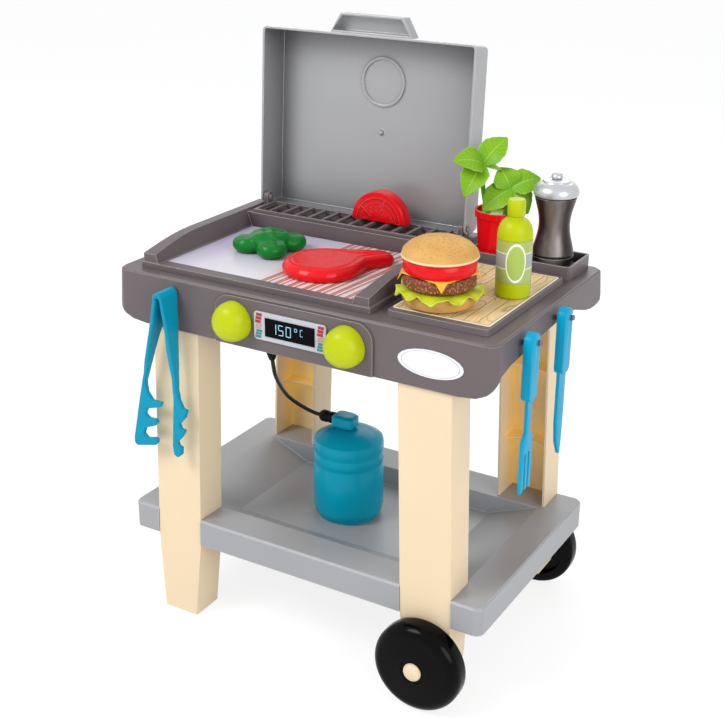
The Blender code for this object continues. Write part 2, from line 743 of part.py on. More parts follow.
def ear_starts():
    """The left faces of the two ears, just inside the lid's side walls."""
    inside = LID_WALL + RUN_GAP + LID_DRAFT * (LID_FRONT + EAR_RADIUS) / LID_DEPTH
    return LID_LEFT + inside, LID_RIGHT - inside - EAR_THICK


def build_lid(stand):
    """The lid in its own frame: y is depth from the axis, z is length up from the axis."""
    axis = add_empty("lid_axis", (0.0, LID_AXIS_Y, lid_axis_z), stand, -LID_LEAN)
    front, back = -LID_FRONT, LID_DEPTH - LID_FRONT
    draft, wall = LID_DRAFT, LID_WALL

    def ring(y, inset, radius):
        outline = rounded(LID_LEFT + inset, -LID_HEEL + inset, LID_RIGHT - inset, LID_LENGTH - inset, radius)
        return [(x, y, z) for x, z in outline]

    edge = WORKTOP_EDGE
    rings = [ring(front, 0.0, LID_CORNER), ring(back - edge, draft, LID_CORNER),
             ring(back, draft + edge, LID_CORNER - edge)]
    lid = add_object("lid_shell", skin("lid_shell", rings), axis, "lid_grey")
    slope = draft / LID_DEPTH
    hollow = [ring(front - OVERRUN, wall - slope * OVERRUN, LID_CORNER - wall),
              ring(back - wall, wall + draft - slope * wall, LID_CORNER - wall)]
    cut(lid, skin("lid_hollow", hollow), axis)

    out = LID_HEEL + LID_FRONT + OVERRUN
    outline = [(-out, 0.0)] + arc((0.0, 0.0), LID_FRONT, 180, 315, 7)
    outline += [(LID_HEEL_FRONT, -LID_HEEL_FRONT), (LID_HEEL_FRONT, -out), (-out, -out)]
    cut(lid, prism("heel_cut", outline, "X", LID_LEFT - OVERRUN, LID_RIGHT + OVERRUN), axis)

    inner = back - wall
    tube = ((LID_RING_RADIUS - LID_RING_WIDTH, wall / 2), (LID_RING_RADIUS, wall / 2),
            (LID_RING_RADIUS, -LID_RING_PROUD), (LID_RING_RADIUS - LID_RING_WIDTH, -LID_RING_PROUD))
    join(lid, turned("lid_ring", tube, (LID_RING_X, inner, LID_RING_UP), "Y", closed=True, sides=32), axis)
    nub = ((LID_NUB_RADIUS, wall / 2), (LID_NUB_RADIUS, 0.0), (LID_NUB_RADIUS / 2, -LID_NUB_PROUD))
    join(lid, turned("lid_nub", nub, (LID_RING_X, inner, LID_NUB_UP), "Y", sides=12), axis)
    for side, x in (("left", LID_LEFT), ("right", LID_RIGHT)):
        cut(lid, bore("lid_bore_" + side, PIN_RADIUS + FIT_GAP, (x, 0.0, 0.0), "X", -OVERRUN, OVERRUN, 16), axis)

    ears = ear_starts()
    pins = (("left", LID_LEFT, -1, ears[0] + EAR_THICK - LID_LEFT), ("right", LID_RIGHT, 1, LID_RIGHT - ears[1]))
    for side, x, out, reach in pins:
        profile = ((PIN_RADIUS, -out * reach), (PIN_RADIUS, out * FIT_GAP), (PIN_HEAD_RADIUS, out * FIT_GAP),
                   (PIN_HEAD_RADIUS, out * (FIT_GAP + PIN_HEAD)))
        name = "lid_pin_" + side
        add_object(name, turned(name, profile, (x, 0.0, 0.0), "X", sides=16), axis, "lid_grey")

    build_lid_handle(axis, slope)


def build_lid_handle(axis, slope):
    """A hollow trapezoid cup on the lid's far wall, open on the side that faces forward."""
    low = LID_LENGTH + FIT_GAP
    high = low + HANDLE_HEIGHT
    front = -LID_FRONT
    slant = HANDLE_SLANT / HANDLE_HEIGHT

    def trapezoid(y, inset, drop):
        left, right = HANDLE_LEFT + inset, HANDLE_RIGHT - inset
        return [(left, y, low - drop + inset), (right, y, low - drop + inset),
                (right - HANDLE_SLANT, y, high - inset), (left + HANDLE_SLANT, y, high - inset)]

    rings = [trapezoid(front, 0.0, 0.0), trapezoid(front + HANDLE_DEPTH, 0.0, slope * HANDLE_DEPTH)]
    rings[1] = [(x, y, max(z, low)) for x, y, z in rings[1]]
    handle = add_object("lid_handle", skin("lid_handle", rings), axis, "lid_grey", smooth=20)
    hollow = [trapezoid(front - OVERRUN, HANDLE_WALL * (1 - slant / 4), 0.0),
              trapezoid(front + HANDLE_DEPTH - HANDLE_WALL, HANDLE_WALL * (1 + slant / 4), 0.0)]
    cut(handle, skin("handle_hollow", hollow), axis)


def build_board(stand):
    low = floor_top
    high = low + BOARD_HEIGHT
    draft = BOARD_DRAFT
    rings = [level(rounded(BOARD_LEFT, BOARD_FRONT, BOARD_RIGHT, BOARD_BACK, BOARD_CORNER), low),
             level(rounded(BOARD_LEFT + draft, BOARD_FRONT + draft, BOARD_RIGHT - draft, BOARD_BACK - draft,
                           BOARD_CORNER - draft), high)]
    add_object("board_base", skin("board_base", rings), stand, "anthracite")
    outline = rounded(BOARD_LEFT + WOOD_SIDE, BOARD_FRONT + WOOD_FRONT, BOARD_RIGHT - WOOD_SIDE,
                      BOARD_BACK - WOOD_BACK, BOARD_CORNER / 2)
    mesh = prism("wood_panel", outline, "Z", high + FIT_GAP, high + FIT_GAP + WOOD_THICK)
    add_object("wood_panel", mesh, stand, "wood")


def build_caddy(stand):
    low = floor_top
    outline = rounded(CADDY_LEFT, CADDY_FRONT, CADDY_RIGHT, CADDY_BACK, CADDY_CORNER)
    caddy = add_object("caddy", prism("caddy", outline, "Z", low, low + CADDY_HEIGHT), stand, "anthracite")
    wall = CADDY_WALL
    spans = ((CADDY_LEFT + wall, CADDY_SPLIT - wall / 2), (CADDY_SPLIT + wall / 2, CADDY_RIGHT - wall))
    for side, (left, right) in zip(("left", "right"), spans):
        outline = rounded(left, CADDY_FRONT + wall, right, CADDY_BACK - wall, CADDY_CORNER / 2)
        cut(caddy, prism("caddy_well_" + side, outline, "Z", low + CADDY_FLOOR, low + CADDY_HEIGHT + OVERRUN),
            stand)


def leg_middle(side, z):
    return side * (LEG_X + LEG_SPLAY * (leg_top - z) / leg_top)


def leg_half_width(z):
    share = min(1.0, z / SHELF_BOTTOM)
    return at_share(LEG_FOOT_WIDTH, LEG_WIDTH, share) / 2


def channel(side, z, half, grow, front):
    """A leg's section at a height: a channel whose web is in front, grown by a clearance."""
    x, wall, depth = leg_middle(side, z), LEG_WALL, LEG_INSET + LEG_DEPTH
    back_of_web = LEG_INSET + wall
    outer, inner = half + grow, half - wall - grow
    return [(x - outer, front, z), (x + outer, front, z), (x + outer, depth + grow, z), (x + inner, depth + grow, z),
            (x + inner, back_of_web + grow, z), (x - inner, back_of_web + grow, z), (x - inner, depth + grow, z),
            (x - outer, depth + grow, z)]


def build_legs(stand):
    middle = WORKTOP_DEPTH / 2
    legs = (("front_left", -1, False), ("front_right", 1, False), ("rear_left", -1, True), ("rear_right", 1, True))
    for place, side, rear in legs:
        foot = LEG_LIFT if side > 0 else 0.0
        rings = [channel(side, z, leg_half_width(z), 0.0, LEG_INSET) for z in (foot, SHELF_BOTTOM, leg_top)]
        mesh = skin("leg_" + place, rings)
        parts = [leg_rib(side, z) for z in LEG_RIB_RISES]
        if rear:
            mesh = mirrored(mesh, middle)
            parts = [mirrored(part, middle) for part in parts]
        leg = add_object("leg_" + place, mesh, stand, "cream")
        for part in parts:
            join(leg, part, stand)
        if side > 0:
            centre = (WHEEL_X, LEG_INSET, WHEEL_RADIUS)
            if rear:
                centre = (WHEEL_X + REAR_SHIFT, WORKTOP_DEPTH - LEG_INSET, WHEEL_RADIUS)
            cut(leg, bore("axle_bore_" + place, AXLE_RADIUS + FIT_GAP, centre, "Y", -OVERRUN, OVERRUN), stand)


def leg_rib(side, z):
    """A stiffening plate across the channel, with a hollow arc in its free edge."""
    x = leg_middle(side, z)
    half = leg_half_width(z) - LEG_WALL / 2
    web = LEG_INSET + LEG_WALL / 2
    edge = web + LEG_RIB_DEPTH
    radius = (half * half + LEG_RIB_ARC * LEG_RIB_ARC) / (2 * LEG_RIB_ARC)
    sweep = math.degrees(math.asin(half / radius))
    outline = [(x - half, web), (x + half, web)]
    outline += arc((x, edge - LEG_RIB_ARC + radius), radius, 270 + sweep, 270 - sweep, 8)
    return prism("leg_rib", outline, "Z", z, z + LEG_RIB)


def build_shelf(stand):
    """A tray with a deep band all round, a flat rim and a sunk pan, open below."""
    half = SHELF_WIDTH / 2
    front, back = SHELF_MARGIN, WORKTOP_DEPTH - SHELF_MARGIN
    skin_thick = SHELF_SKIN

    def outer(inset, z):
        return level(rounded(inset - half, front + inset, half - inset, back - inset, SHELF_CORNER - inset), z)

    def pan(side, low, high, z):
        return level(rounded(side - half, front + low, half - side, back - high, skin_thick), z)

    side, low, high = SHELF_SIDE_RIM, SHELF_FRONT_RIM, SHELF_BACK_RIM
    runs = (side + SHELF_SIDE_SLOPE, low + SHELF_FRONT_SLOPE, high + SHELF_BACK_SLOPE)
    edge = WORKTOP_EDGE
    rings = [
        pan(*runs, pan_floor), pan(side, low, high, shelf_top), outer(edge, shelf_top), outer(0.0, shelf_top - edge),
        outer(0.0, SHELF_BOTTOM), outer(skin_thick, SHELF_BOTTOM), outer(skin_thick, shelf_top - skin_thick),
        pan(side - skin_thick, low - skin_thick, high - skin_thick, shelf_top - skin_thick),
        pan(*(run - skin_thick / 2 for run in runs), pan_floor - skin_thick),
    ]
    shelf = add_object("shelf", skin("shelf", rings), stand, "shelf_grey", smooth=12)
    middle = WORKTOP_DEPTH / 2
    spans = (SHELF_BOTTOM - OVERRUN, shelf_top + OVERRUN)
    for place, side, rear in (("front_left", -1, False), ("front_right", 1, False), ("rear_left", -1, True),
                              ("rear_right", 1, True)):
        rings = [channel(side, z, LEG_WIDTH / 2, FIT_GAP, -OVERRUN) for z in spans]
        mesh = skin("notch_" + place, rings)
        cut(shelf, mirrored(mesh, middle) if rear else mesh, stand)


def wheel_profile():
    """One closed section: dished face, tread and an open back, around the axle bore."""
    bore_radius, half = AXLE_RADIUS + RUN_GAP, WHEEL_WIDTH
    boss, dish, radius = WHEEL_BOSS_RADIUS, WHEEL_DISH_RADIUS, WHEEL_RADIUS
    rim, web, sink = WHEEL_RIM, WHEEL_WEB, WHEEL_DISH
    shoulder = radius - 2 * rim
    return [(bore_radius, 0.0), (boss, 0.0), (boss, sink), (dish, sink), (dish + rim, 0.0), (shoulder, 0.0),
            (radius - rim / 2, rim / 2), (radius, 2 * rim), (radius, half - 2 * rim), (radius - rim / 2, half - rim / 2),
            (shoulder, half), (dish + rim, half), (dish, sink + web), (boss, sink + web), (boss, half),
            (bore_radius, half)]


def build_wheels(stand):
    middle = WORKTOP_DEPTH / 2
    face = LEG_INSET - WHEEL_GAP - WHEEL_WIDTH
    head_back = face - RUN_GAP
    inside = LEG_INSET + LEG_WALL + RUN_GAP
    for place, rear in (("front", False), ("rear", True)):
        centre = (WHEEL_X, 0.0, WHEEL_RADIUS)
        wheel = turned("wheel_" + place, [(r, face + h) for r, h in wheel_profile()], centre, "Y",
                       closed=True, sides=48)
        head = AXLE_HEAD
        pin = turned("axle_" + place, (
            (AXLE_HEAD_RADIUS - head / 2, head_back - head), (AXLE_HEAD_RADIUS - head / 6, head_back - head * 3 / 4),
            (AXLE_HEAD_RADIUS, head_back - head / 3), (AXLE_HEAD_RADIUS, head_back), (AXLE_RADIUS, head_back),
            (AXLE_RADIUS, inside), (AXLE_RADIUS + RUN_GAP * 3, inside), (AXLE_RADIUS, LEG_INSET + AXLE_END)),
            centre, "Y", sides=24)
        origin = centre
        if rear:
            wheel, pin = mirrored(wheel, middle), mirrored(pin, middle)
            origin = (WHEEL_X + REAR_SHIFT, WORKTOP_DEPTH, WHEEL_RADIUS)
        add_object("wheel_" + place, wheel, stand, "black", origin)
        add_object("axle_" + place, pin, stand, "cream", origin)


def tongs_outline():
    """Front view of the tongs, in shares of the spread and the length, from the top of the bow."""
    shares = (
        (0.676, 0.019), (0.659, 0.056), (0.525, 0.221), (0.326, 0.446), (0.182, 0.662), (0.024, 0.953),
        (0.035, 0.985), (0.082, 0.995), (0.412, 0.962), (0.450, 0.945), (0.447, 0.925), (0.412, 0.915),
        (0.271, 0.930), (0.205, 0.911), (0.247, 0.869), (0.424, 0.840), (0.471, 0.817), (0.435, 0.798),
        (0.318, 0.803), (0.247, 0.784), (0.294, 0.746), (0.529, 0.718), (0.565, 0.688), (0.388, 0.685),
        (0.306, 0.643), (0.288, 0.580), (0.348, 0.507), (0.447, 0.376), (0.584, 0.221), (0.711, 0.056),
        (0.718, 0.031), (0.776, 0.031), (0.781, 0.056), (0.782, 0.221), (0.759, 0.343), (0.770, 0.643),
        (0.718, 0.934), (0.735, 0.985), (0.800, 1.0), (0.871, 0.977), (0.882, 0.930), (0.824, 0.925),
        (0.812, 0.901), (0.906, 0.859), (0.953, 0.819), (0.882, 0.817), (0.853, 0.793), (0.965, 0.739),
        (1.0, 0.695), (0.929, 0.690), (0.870, 0.643), (0.842, 0.587), (0.840, 0.418), (0.841, 0.211),
        (0.827, 0.028), (0.782, 0.005), (0.729, 0.0))
    return [(TONGS_SPREAD * (x - 0.7), -TONGS_LENGTH * z) for x, z in shares]


def build_tongs(stand):
    """Two clawed arms of one bent strip, hung over a peg on the front apron."""
    top = WORKTOP_HEIGHT - TONGS_TOP_DROP
    back = -TONGS_STAND_OFF
    front = back - TONGS_BOW_DEPTH
    outline = [(TONGS_X + x, top + z) for x, z in tongs_outline()]
    tongs = add_object("tongs", prism("tongs", outline, "Y", front, back), stand, "cyan")
    claws = at_share(back, front, 0.29)
    tip = TONGS_TIP_DEPTH / 2
    low, high = top - TONGS_LENGTH - OVERRUN, top + OVERRUN
    bend, waist = top - TONGS_LENGTH * 0.52, top - TONGS_LENGTH * 0.66
    outline = [(claws - tip, low), (claws + tip, low), (claws + tip, waist), (claws + tip * 1.4, bend),
               (back, top), (back, high), (front, high), (front, top), (claws - tip * 1.4, bend),
               (claws - tip, waist)]
    helper = prism("tongs_taper", outline, "X", TONGS_X - TONGS_SPREAD, TONGS_X + TONGS_SPREAD)
    combine(tongs, helper, "INTERSECT", stand)

    radius = TONGS_PEG_RADIUS
    hollow_top = top - TONGS_LENGTH * 0.031
    hollow_middle = TONGS_X + TONGS_SPREAD * ((0.718 + 0.776) / 2 - 0.7)
    centre = (hollow_middle, 0.0, hollow_top - radius - FIT_GAP)
    reach = TONGS_STAND_OFF + TONGS_BOW_DEPTH / 2
    add_object("tongs_peg", bore("tongs_peg", radius, centre, "Y", -reach, -FIT_GAP, 16), stand, "anthracite")


def handle_outline():
    """Side view of a utensil's handle, in y and z from its top centre."""
    half, length = UTENSIL_HANDLE_WIDTH / 2, UTENSIL_HANDLE_LENGTH
    points = arc((0.0, -half), half, 0, 180, 8)
    points += arc((-half / 3, half * 2 / 3 - length), half * 2 / 3, 180, 270, 3)
    points += arc((half / 3, half * 2 / 3 - length), half * 2 / 3, 270, 360, 3)
    return points


def build_utensil(stand, name, y, blade_shares, length, width):
    """A handle with a thinner blade, hooked by a notch over a tilted peg on the side apron."""
    side = WORKTOP_WIDTH / 2 + APRON_FLARE + UTENSIL_STAND_OFF
    top = WORKTOP_HEIGHT - HANDLE_TOP_DROP
    outline = [(y + a, top + b) for a, b in handle_outline()]
    thick = UTENSIL_HANDLE_THICK
    piece = add_object(name, prism(name, outline, "X", side, side + thick), stand, "cyan")
    reach = length - UTENSIL_HANDLE_LENGTH + UTENSIL_HANDLE_WIDTH / 2
    start = top - length + reach
    outline = [(y + width * a, start - reach * b) for a, b in blade_shares]
    inset = (thick - UTENSIL_BLADE_THICK) / 2
    join(piece, prism(name + "_blade", outline, "X", side + inset, side + thick - inset), stand)

    peg_y = y + UTENSIL_HANDLE_WIDTH / 2 - UTENSIL_NOTCH + SIDE_PEG_RADIUS
    root = (apron_x(peg_y, SIDE_PEG_DROP), peg_y, side_peg_z)
    radius, reach = SIDE_PEG_RADIUS + RUN_GAP, SIDE_PEG_REACH + OVERRUN
    cut(piece, tilted(bore(name + "_notch", radius, root, "X", 0.0, reach, 16), root, "Y", -PEG_TILT), stand)
    slot = box(name + "_slot", (root[0], peg_y, side_peg_z - radius),
               (root[0] + reach, peg_y + UTENSIL_NOTCH + OVERRUN, side_peg_z + radius))
    cut(piece, tilted(slot, root, "Y", -PEG_TILT), stand)
    start = SIDE_PEG_RADIUS * math.tan(PEG_TILT) + FIT_GAP
    peg = bore(name + "_peg", SIDE_PEG_RADIUS, root, "X", start, SIDE_PEG_REACH, 16)
    add_object(name + "_peg", tilted(peg, root, "Y", -PEG_TILT), stand, "anthracite")


def build_utensils(stand):
    build_tongs(stand)
    neck, prong, gap = 0.19, 0.15, 0.10
    fork_shares = [(neck, 0.0), (neck, 0.40), (0.5, 0.47), (0.5, 0.94), (0.46, 1.0), (0.5 - prong * 1.6, 0.97),
                   (0.5 - prong * 1.6, 0.62), (prong / 2 + gap / 4, 0.60), (prong / 2 + gap / 4, 0.98),
                   (-prong / 2 - gap / 4, 0.98), (-prong / 2 - gap / 4, 0.60), (prong * 1.6 - 0.5, 0.62),
                   (prong * 1.6 - 0.5, 0.97), (-0.46, 1.0), (-0.5, 0.94), (-0.5, 0.47), (-neck, 0.40), (-neck, 0.0)]
    build_utensil(stand, "fork", FORK_Y, fork_shares, FORK_LENGTH, FORK_TINE_WIDTH)
    knife_shares = ((0.5, 0.0), (0.5, 0.5), (0.46, 0.8), (0.34, 1.0), (0.20, 0.99), (-0.30, 0.84), (-0.5, 0.62),
                    (-0.5, 0.0))
    build_utensil(stand, "knife", KNIFE_Y, knife_shares, KNIFE_LENGTH, UTENSIL_HANDLE_WIDTH * 0.86)


def build_gas_bottle(stand):
    low = pan_floor + FIT_GAP
    radius, height, dome = BOTTLE_RADIUS, BOTTLE_HEIGHT, BOTTLE_DOME
    shares = ((0.86, 0.0), (0.86, 0.03), (0.97, 0.07), (1.0, 0.13), (1.0, 0.66), (0.97, 0.68), (0.97, 0.70),
              (1.0, 0.72), (1.0, 0.80), (0.97, 0.82), (0.97, 0.84), (1.0, 0.87), (1.0, 0.94), (0.97, 0.985),
              (0.90, 1.0))
    profile = [(radius * r, height * h) for r, h in shares]
    profile += [(radius * r, height + dome * d) for r, d in ((0.82, 0.25), (0.6, 0.75), (0.35, 1.0))]
    add_object("gas_bottle", turned("gas_bottle", profile, (BOTTLE_X, BOTTLE_Y, low)), stand, "teal")

    base = low + height + dome + FIT_GAP
    half_x, half_y = VALVE_WIDTH / 2, VALVE_DEPTH / 2
    edge = VALVE_WIDTH / 10
    rings = []
    for inset, z in ((edge, 0.0), (0.0, edge), (0.0, VALVE_HEIGHT - edge), (edge, VALVE_HEIGHT)):
        outline = rounded(VALVE_X - half_x + inset, BOTTLE_Y - half_y + inset, VALVE_X + half_x - inset,
                          BOTTLE_Y + half_y - inset, 2 * edge)
        rings.append(level(outline, base + z))
    add_object("bottle_valve", skin("bottle_valve", rings), stand, "teal")

    radius, length = CONNECTOR_RADIUS, CONNECTOR_LENGTH
    end = VALVE_X - half_x - FIT_GAP
    profile = ((radius * 0.7, -length), (radius, -length * 0.85), (radius, -length * 0.45), (radius * 0.8, -length * 0.4),
               (radius * 0.8, -length * 0.3), (radius, -length * 0.25), (radius, 0.0))
    centre = (end, BOTTLE_Y, base + CONNECTOR_RISE)
    add_object("hose_connector", turned("hose_connector", profile, centre, "X", sides=24), stand, "black")

    top = WORKTOP_HEIGHT - WORKTOP_WALL - FIT_GAP
    bottom = apron_bottom - SOCKET_BELOW
    half = SOCKET_WIDTH / 2
    rings = [level(rectangle(SOCKET_X - half * s, SOCKET_Y - half * s, SOCKET_X + half * s, SOCKET_Y + half * s), z)
             for s, z in ((0.55, bottom), (1.0, bottom + SOCKET_HEIGHT / 3), (1.0, bottom + SOCKET_HEIGHT),
                          (0.6, bottom + SOCKET_HEIGHT + half), (0.6, top))]
    add_object("hose_socket", skin("hose_socket", rings), stand, "black")
    build_hose(stand, bottom - FIT_GAP, (end - length - FIT_GAP, BOTTLE_Y, centre[2]))


def build_hose(stand, top, end):
    """The gas hose from the socket to the connector, through hand-chosen points."""
    places = [Vector(point) for point in HOSE_ROUTE]
    places[0] = Vector((SOCKET_X, SOCKET_Y, top))
    places.append(Vector((end[0] - HOSE_RADIUS * 3, end[1], end[2])))
    places.append(Vector(end))
    before = places[0] + (places[0] - places[1])
    after = places[-1] + (places[-1] - places[-2])
    chain = [before] + places + [after]
    points = []
    for i in range(1, len(chain) - 2):
        a, b, c, d = chain[i - 1], chain[i], chain[i + 1], chain[i + 2]
        steps = max(1, round((c - b).length / (HOSE_RADIUS * 5)))
        for k in range(steps):
            t = k / steps
            points.append(b + (c - a) * (t / 2) + (a * 2 - b * 5 + c * 4 - d) * (t * t / 2)
                          + (b * 3 - a - c * 3 + d) * (t * t * t / 2))
    points.append(places[-1])
    curve = bpy.data.curves.new("gas_hose", "CURVE")
    curve.dimensions = "3D"
    curve.bevel_depth = HOSE_RADIUS
    curve.bevel_resolution = HOSE_BEVEL_RESOLUTION
    curve.use_fill_caps = True
    spline = curve.splines.new("POLY")
    spline.points.add(len(points) - 1)
    for point, place in zip(spline.points, points):
        point.co = (*place, 1.0)
    curve.materials.append(material("black"))
    hose = bpy.data.objects.new("gas_hose", curve)
    bpy.context.scene.collection.objects.link(hose)
    hose.parent = stand


def cheese_mesh(low):
    """A square slice whose corners hang over the edge of the patty, one of them towards the front."""
    half, fold, thick = CHEESE_SIDE / 2, PATTY_RADIUS + CHEESE_FOLD_GAP, CHEESE_THICK
    side = math.sqrt(fold * fold - half * half)
    rings = []
    for shrink, droop, top in ((0.5, 0.0, 0), (1.0, 0.0, 0), (1.0, 1.0, 0), (1.0, 1.0, 1), (1.0, 0.0, 1),
                               (0.5, 0.0, 1)):
        ring = []
        inset = 0.0 if droop else thick / 2
        for turn in range(4):
            angle = math.radians(CHEESE_TURN + 90 * turn)
            corner = at_share(fold / math.sqrt(2), half * 0.96, droop)
            corner_drop = CHEESE_DROOP * droop
            for a, b, drop in ((half - inset, side, 0.0), (corner, corner, corner_drop), (side, half - inset, 0.0)):
                x = shrink * (a * math.cos(angle) - b * math.sin(angle))
                y = shrink * (a * math.sin(angle) + b * math.cos(angle))
                ring.append((BURGER_X + x, BURGER_Y + y, low + thick * top - drop))
        rings.append(ring)
    return skin("cheese", rings)


def build_burger(stand):
    """A stack of six pieces that is lifted as one."""
    centre = (BURGER_X, BURGER_Y, 0.0)
    z = floor_top + BOARD_HEIGHT + FIT_GAP + WOOD_THICK + FIT_GAP

    def layer(name, colour, shares, radius, height):
        profile = [(radius * r, z + height * h) for r, h in shares]
        add_object(name, turned(name, profile, centre), stand, colour)
        return z + height + FIT_GAP

    bun = ((0.80, 0.0), (0.94, 0.15), (1.0, 0.5), (1.0, 0.8), (0.96, 1.0))
    z = layer("bun_bottom", "bun", bun, BUN_RADIUS, BUN_BOTTOM_HEIGHT)

    rings = []
    sides = LETTUCE_WAVES * 6
    for share, top in ((0.5, 0), (0.84, 0), (1.0, 0), (1.0, 1), (0.84, 1), (0.5, 1)):
        wave = LETTUCE_WAVE if share > 0.9 else 0.0
        ring = circle(LETTUCE_RADIUS * share, z + LETTUCE_THICK * top, centre, sides=sides, lobes=LETTUCE_WAVES,
                      lobe_share=0.03 if wave else 0.0)
        rings.append([(px, py, pz - wave * math.cos(2 * math.pi * LETTUCE_WAVES * i / sides))
                      for i, (px, py, pz) in enumerate(ring)])
    add_object("lettuce", skin("lettuce", rings), stand, "lettuce")
    z += LETTUCE_THICK + FIT_GAP
    patty = ((0.90, 0.0), (1.0, 0.25), (1.0, 0.75), (0.92, 1.0))
    z = layer("patty", "brown", patty, PATTY_RADIUS, PATTY_HEIGHT)

    add_object("cheese", cheese_mesh(z), stand, "yellow")
    z += CHEESE_THICK + FIT_GAP
    tomato = ((0.94, 0.0), (1.0, 0.2), (1.0, 0.8), (0.94, 1.0))
    z = layer("tomato_slice", "red", tomato, TOMATO_RADIUS, TOMATO_HEIGHT)
    dome = [(0.94, 0.0), (1.0, 0.06)] + [(math.cos(math.radians(a)), 0.06 + 0.94 * math.sin(math.radians(a)))
                                         for a in (18, 36, 52, 66, 78, 87)]
    layer("bun_top", "bun", dome, TOP_BUN_RADIUS, TOP_BUN_HEIGHT)


def pillow_rings(outline, low, high, edge_share):
    """Rings of a solid with a rounded edge: the outline drawn in about its middle at the top."""
    middle = (sum(x for x, _ in outline) / len(outline), sum(y for _, y in outline) / len(outline))
    height = high - low
    rings = []
    for share, rise in ((1 - edge_share / 2, 0.0), (1.0, 0.25), (1.0, 0.5), (1 - edge_share / 2, 0.8),
                        (1 - edge_share, 0.95), (1 - 2 * edge_share, 1.0)):
        rings.append([(middle[0] + (x - middle[0]) * share, middle[1] + (y - middle[1]) * share,
                       low + height * rise) for x, y in outline])
    return rings


def build_food(stand):
    """The chop and the vegetable on the plate, and the tomato half that stands in the rack."""
    low = floor_top + FIREBOX_FLOOR + FIT_GAP + PLATE_THICK + FIT_GAP
    turn = math.atan2(CHOP_HANDLE_Y - CHOP_Y, CHOP_HANDLE_X - CHOP_X)
    reach = math.hypot(CHOP_HANDLE_Y - CHOP_Y, CHOP_HANDLE_X - CHOP_X)
    radius, tip = CHOP_RADIUS, CHOP_HANDLE_RADIUS
    body = arc((0.0, 0.0), radius, 68, 308, 18)
    waist = (radius + tip / 4, -tip * 5 / 4)
    end = arc((reach, 0.0), tip, -80, 75, 6)
    outline = body + [waist] + end
    cos, sin = math.cos(turn), math.sin(turn)
    outline = [(CHOP_X + a * cos - b * sin, CHOP_Y + a * sin + b * cos) for a, b in outline]
    mesh = skin("chop", pillow_rings(outline, low, low + CHOP_THICK, 0.10))
    add_object("chop", mesh, stand, "red")

    reach, radius = VEGETABLE_LOBE_REACH, VEGETABLE_LOBE_RADIUS
    shares = ((0.7, 0.0), (1.0, 0.3), (0.97, 0.6), (0.75, 0.87), (0.35, 1.0))
    profile = [(VEGETABLE_RADIUS * r, VEGETABLE_HEIGHT * h) for r, h in shares]
    centre = (VEGETABLE_X, VEGETABLE_Y, low)
    vegetable = add_object("vegetable", turned("vegetable", profile, centre, sides=28), stand, "green")
    profile = [(radius * r, VEGETABLE_LOBE_HEIGHT * h) for r, h in shares]
    for i, angle in enumerate((40, 130, 215, 310)):
        turn = math.radians(angle)
        middle = (VEGETABLE_X + reach * math.cos(turn), VEGETABLE_Y + reach * math.sin(turn), low)
        join(vegetable, turned("vegetable_lobe_%d" % (i + 1), profile, middle, sides=24), stand)

    low = WORKTOP_HEIGHT + RACK_SEAT + 2 * FIT_GAP + RACK_THICK
    radius, half, edge = SLICE_RADIUS, SLICE_THICK / 2, SLICE_EDGE
    rings = []
    for y, inset in ((-half, edge), (-half + edge * 0.3, edge * 0.3), (-half + edge, 0.0), (half - edge, 0.0),
                     (half - edge * 0.3, edge * 0.3), (half, edge)):
        ring = arc((SLICE_X, low + inset), radius - inset, 0, 180, 20)
        rings.append([(x, SLICE_Y + y, z) for x, z in ring])
    add_object("tomato_half", skin("tomato_half", rings), stand, "red")


def build_sauce(stand):
    low = floor_top + BOARD_HEIGHT + FIT_GAP + WOOD_THICK + FIT_GAP
    radius, neck, shoulder = SAUCE_RADIUS, SAUCE_NECK_RADIUS, SAUCE_SHOULDER
    body_top = SAUCE_HEIGHT - SAUCE_CAP_HEIGHT
    label_top = LABEL_RISE + LABEL_HEIGHT
    seat = radius - LABEL_THICK
    profile = [(radius * 0.9, 0.0), (radius, radius * 0.1), (radius, LABEL_RISE - FIT_GAP), (seat, LABEL_RISE - FIT_GAP),
               (seat, label_top + FIT_GAP), (radius, label_top + FIT_GAP), (radius, shoulder)]
    profile += [(at_share(neck, radius, math.cos(math.radians(a))),
                 at_share(shoulder, body_top - radius * 0.15, math.sin(math.radians(a)))) for a in (20, 40, 58, 74, 90)]
    profile += [(neck, body_top - FIT_GAP)]
    centre = (SAUCE_X, SAUCE_Y, low)
    add_object("sauce_bottle", turned("sauce_bottle", profile, centre, sides=36), stand, "lime")
    band = ((seat + FIT_GAP, LABEL_RISE), (radius, LABEL_RISE), (radius, label_top), (seat + FIT_GAP, label_top))
    add_object("sauce_label", turned("sauce_label", band, centre, closed=True, sides=36), stand, "leaf")
    cap, top = SAUCE_CAP_RADIUS, SAUCE_HEIGHT
    profile = ((cap * 0.92, body_top), (cap, body_top + cap * 0.15), (cap, top - cap * 0.3), (cap * 0.9, top))
    add_object("sauce_cap", turned("sauce_cap", profile, centre, sides=28), stand, "lime")


def leaf(name, base, reach, facing):
    """A pointed leaf plate along a reach from its base, with its face towards a direction."""
    along = reach.normalized()
    across = along.cross(facing).normalized()
    normal = across.cross(along)
    rings = []
    for share, width, bow in LEAF_SHARES:
        middle = base + reach * share + normal * (LEAF_BOW * bow)
        offset = across * (LEAF_WIDTH / 2 * width)
        fold = normal * (LEAF_WIDTH * LEAF_FOLD_SHARE * width)
        up, down = normal * (LEAF_THICK / 2), normal * (-LEAF_THICK / 2)
        rings.append([tuple(point) for point in (middle - offset + fold + down, middle + down,
                      middle + offset + fold + down, middle + offset + fold + up, middle + up,
                      middle - offset + fold + up)])
    return skin(name, rings)


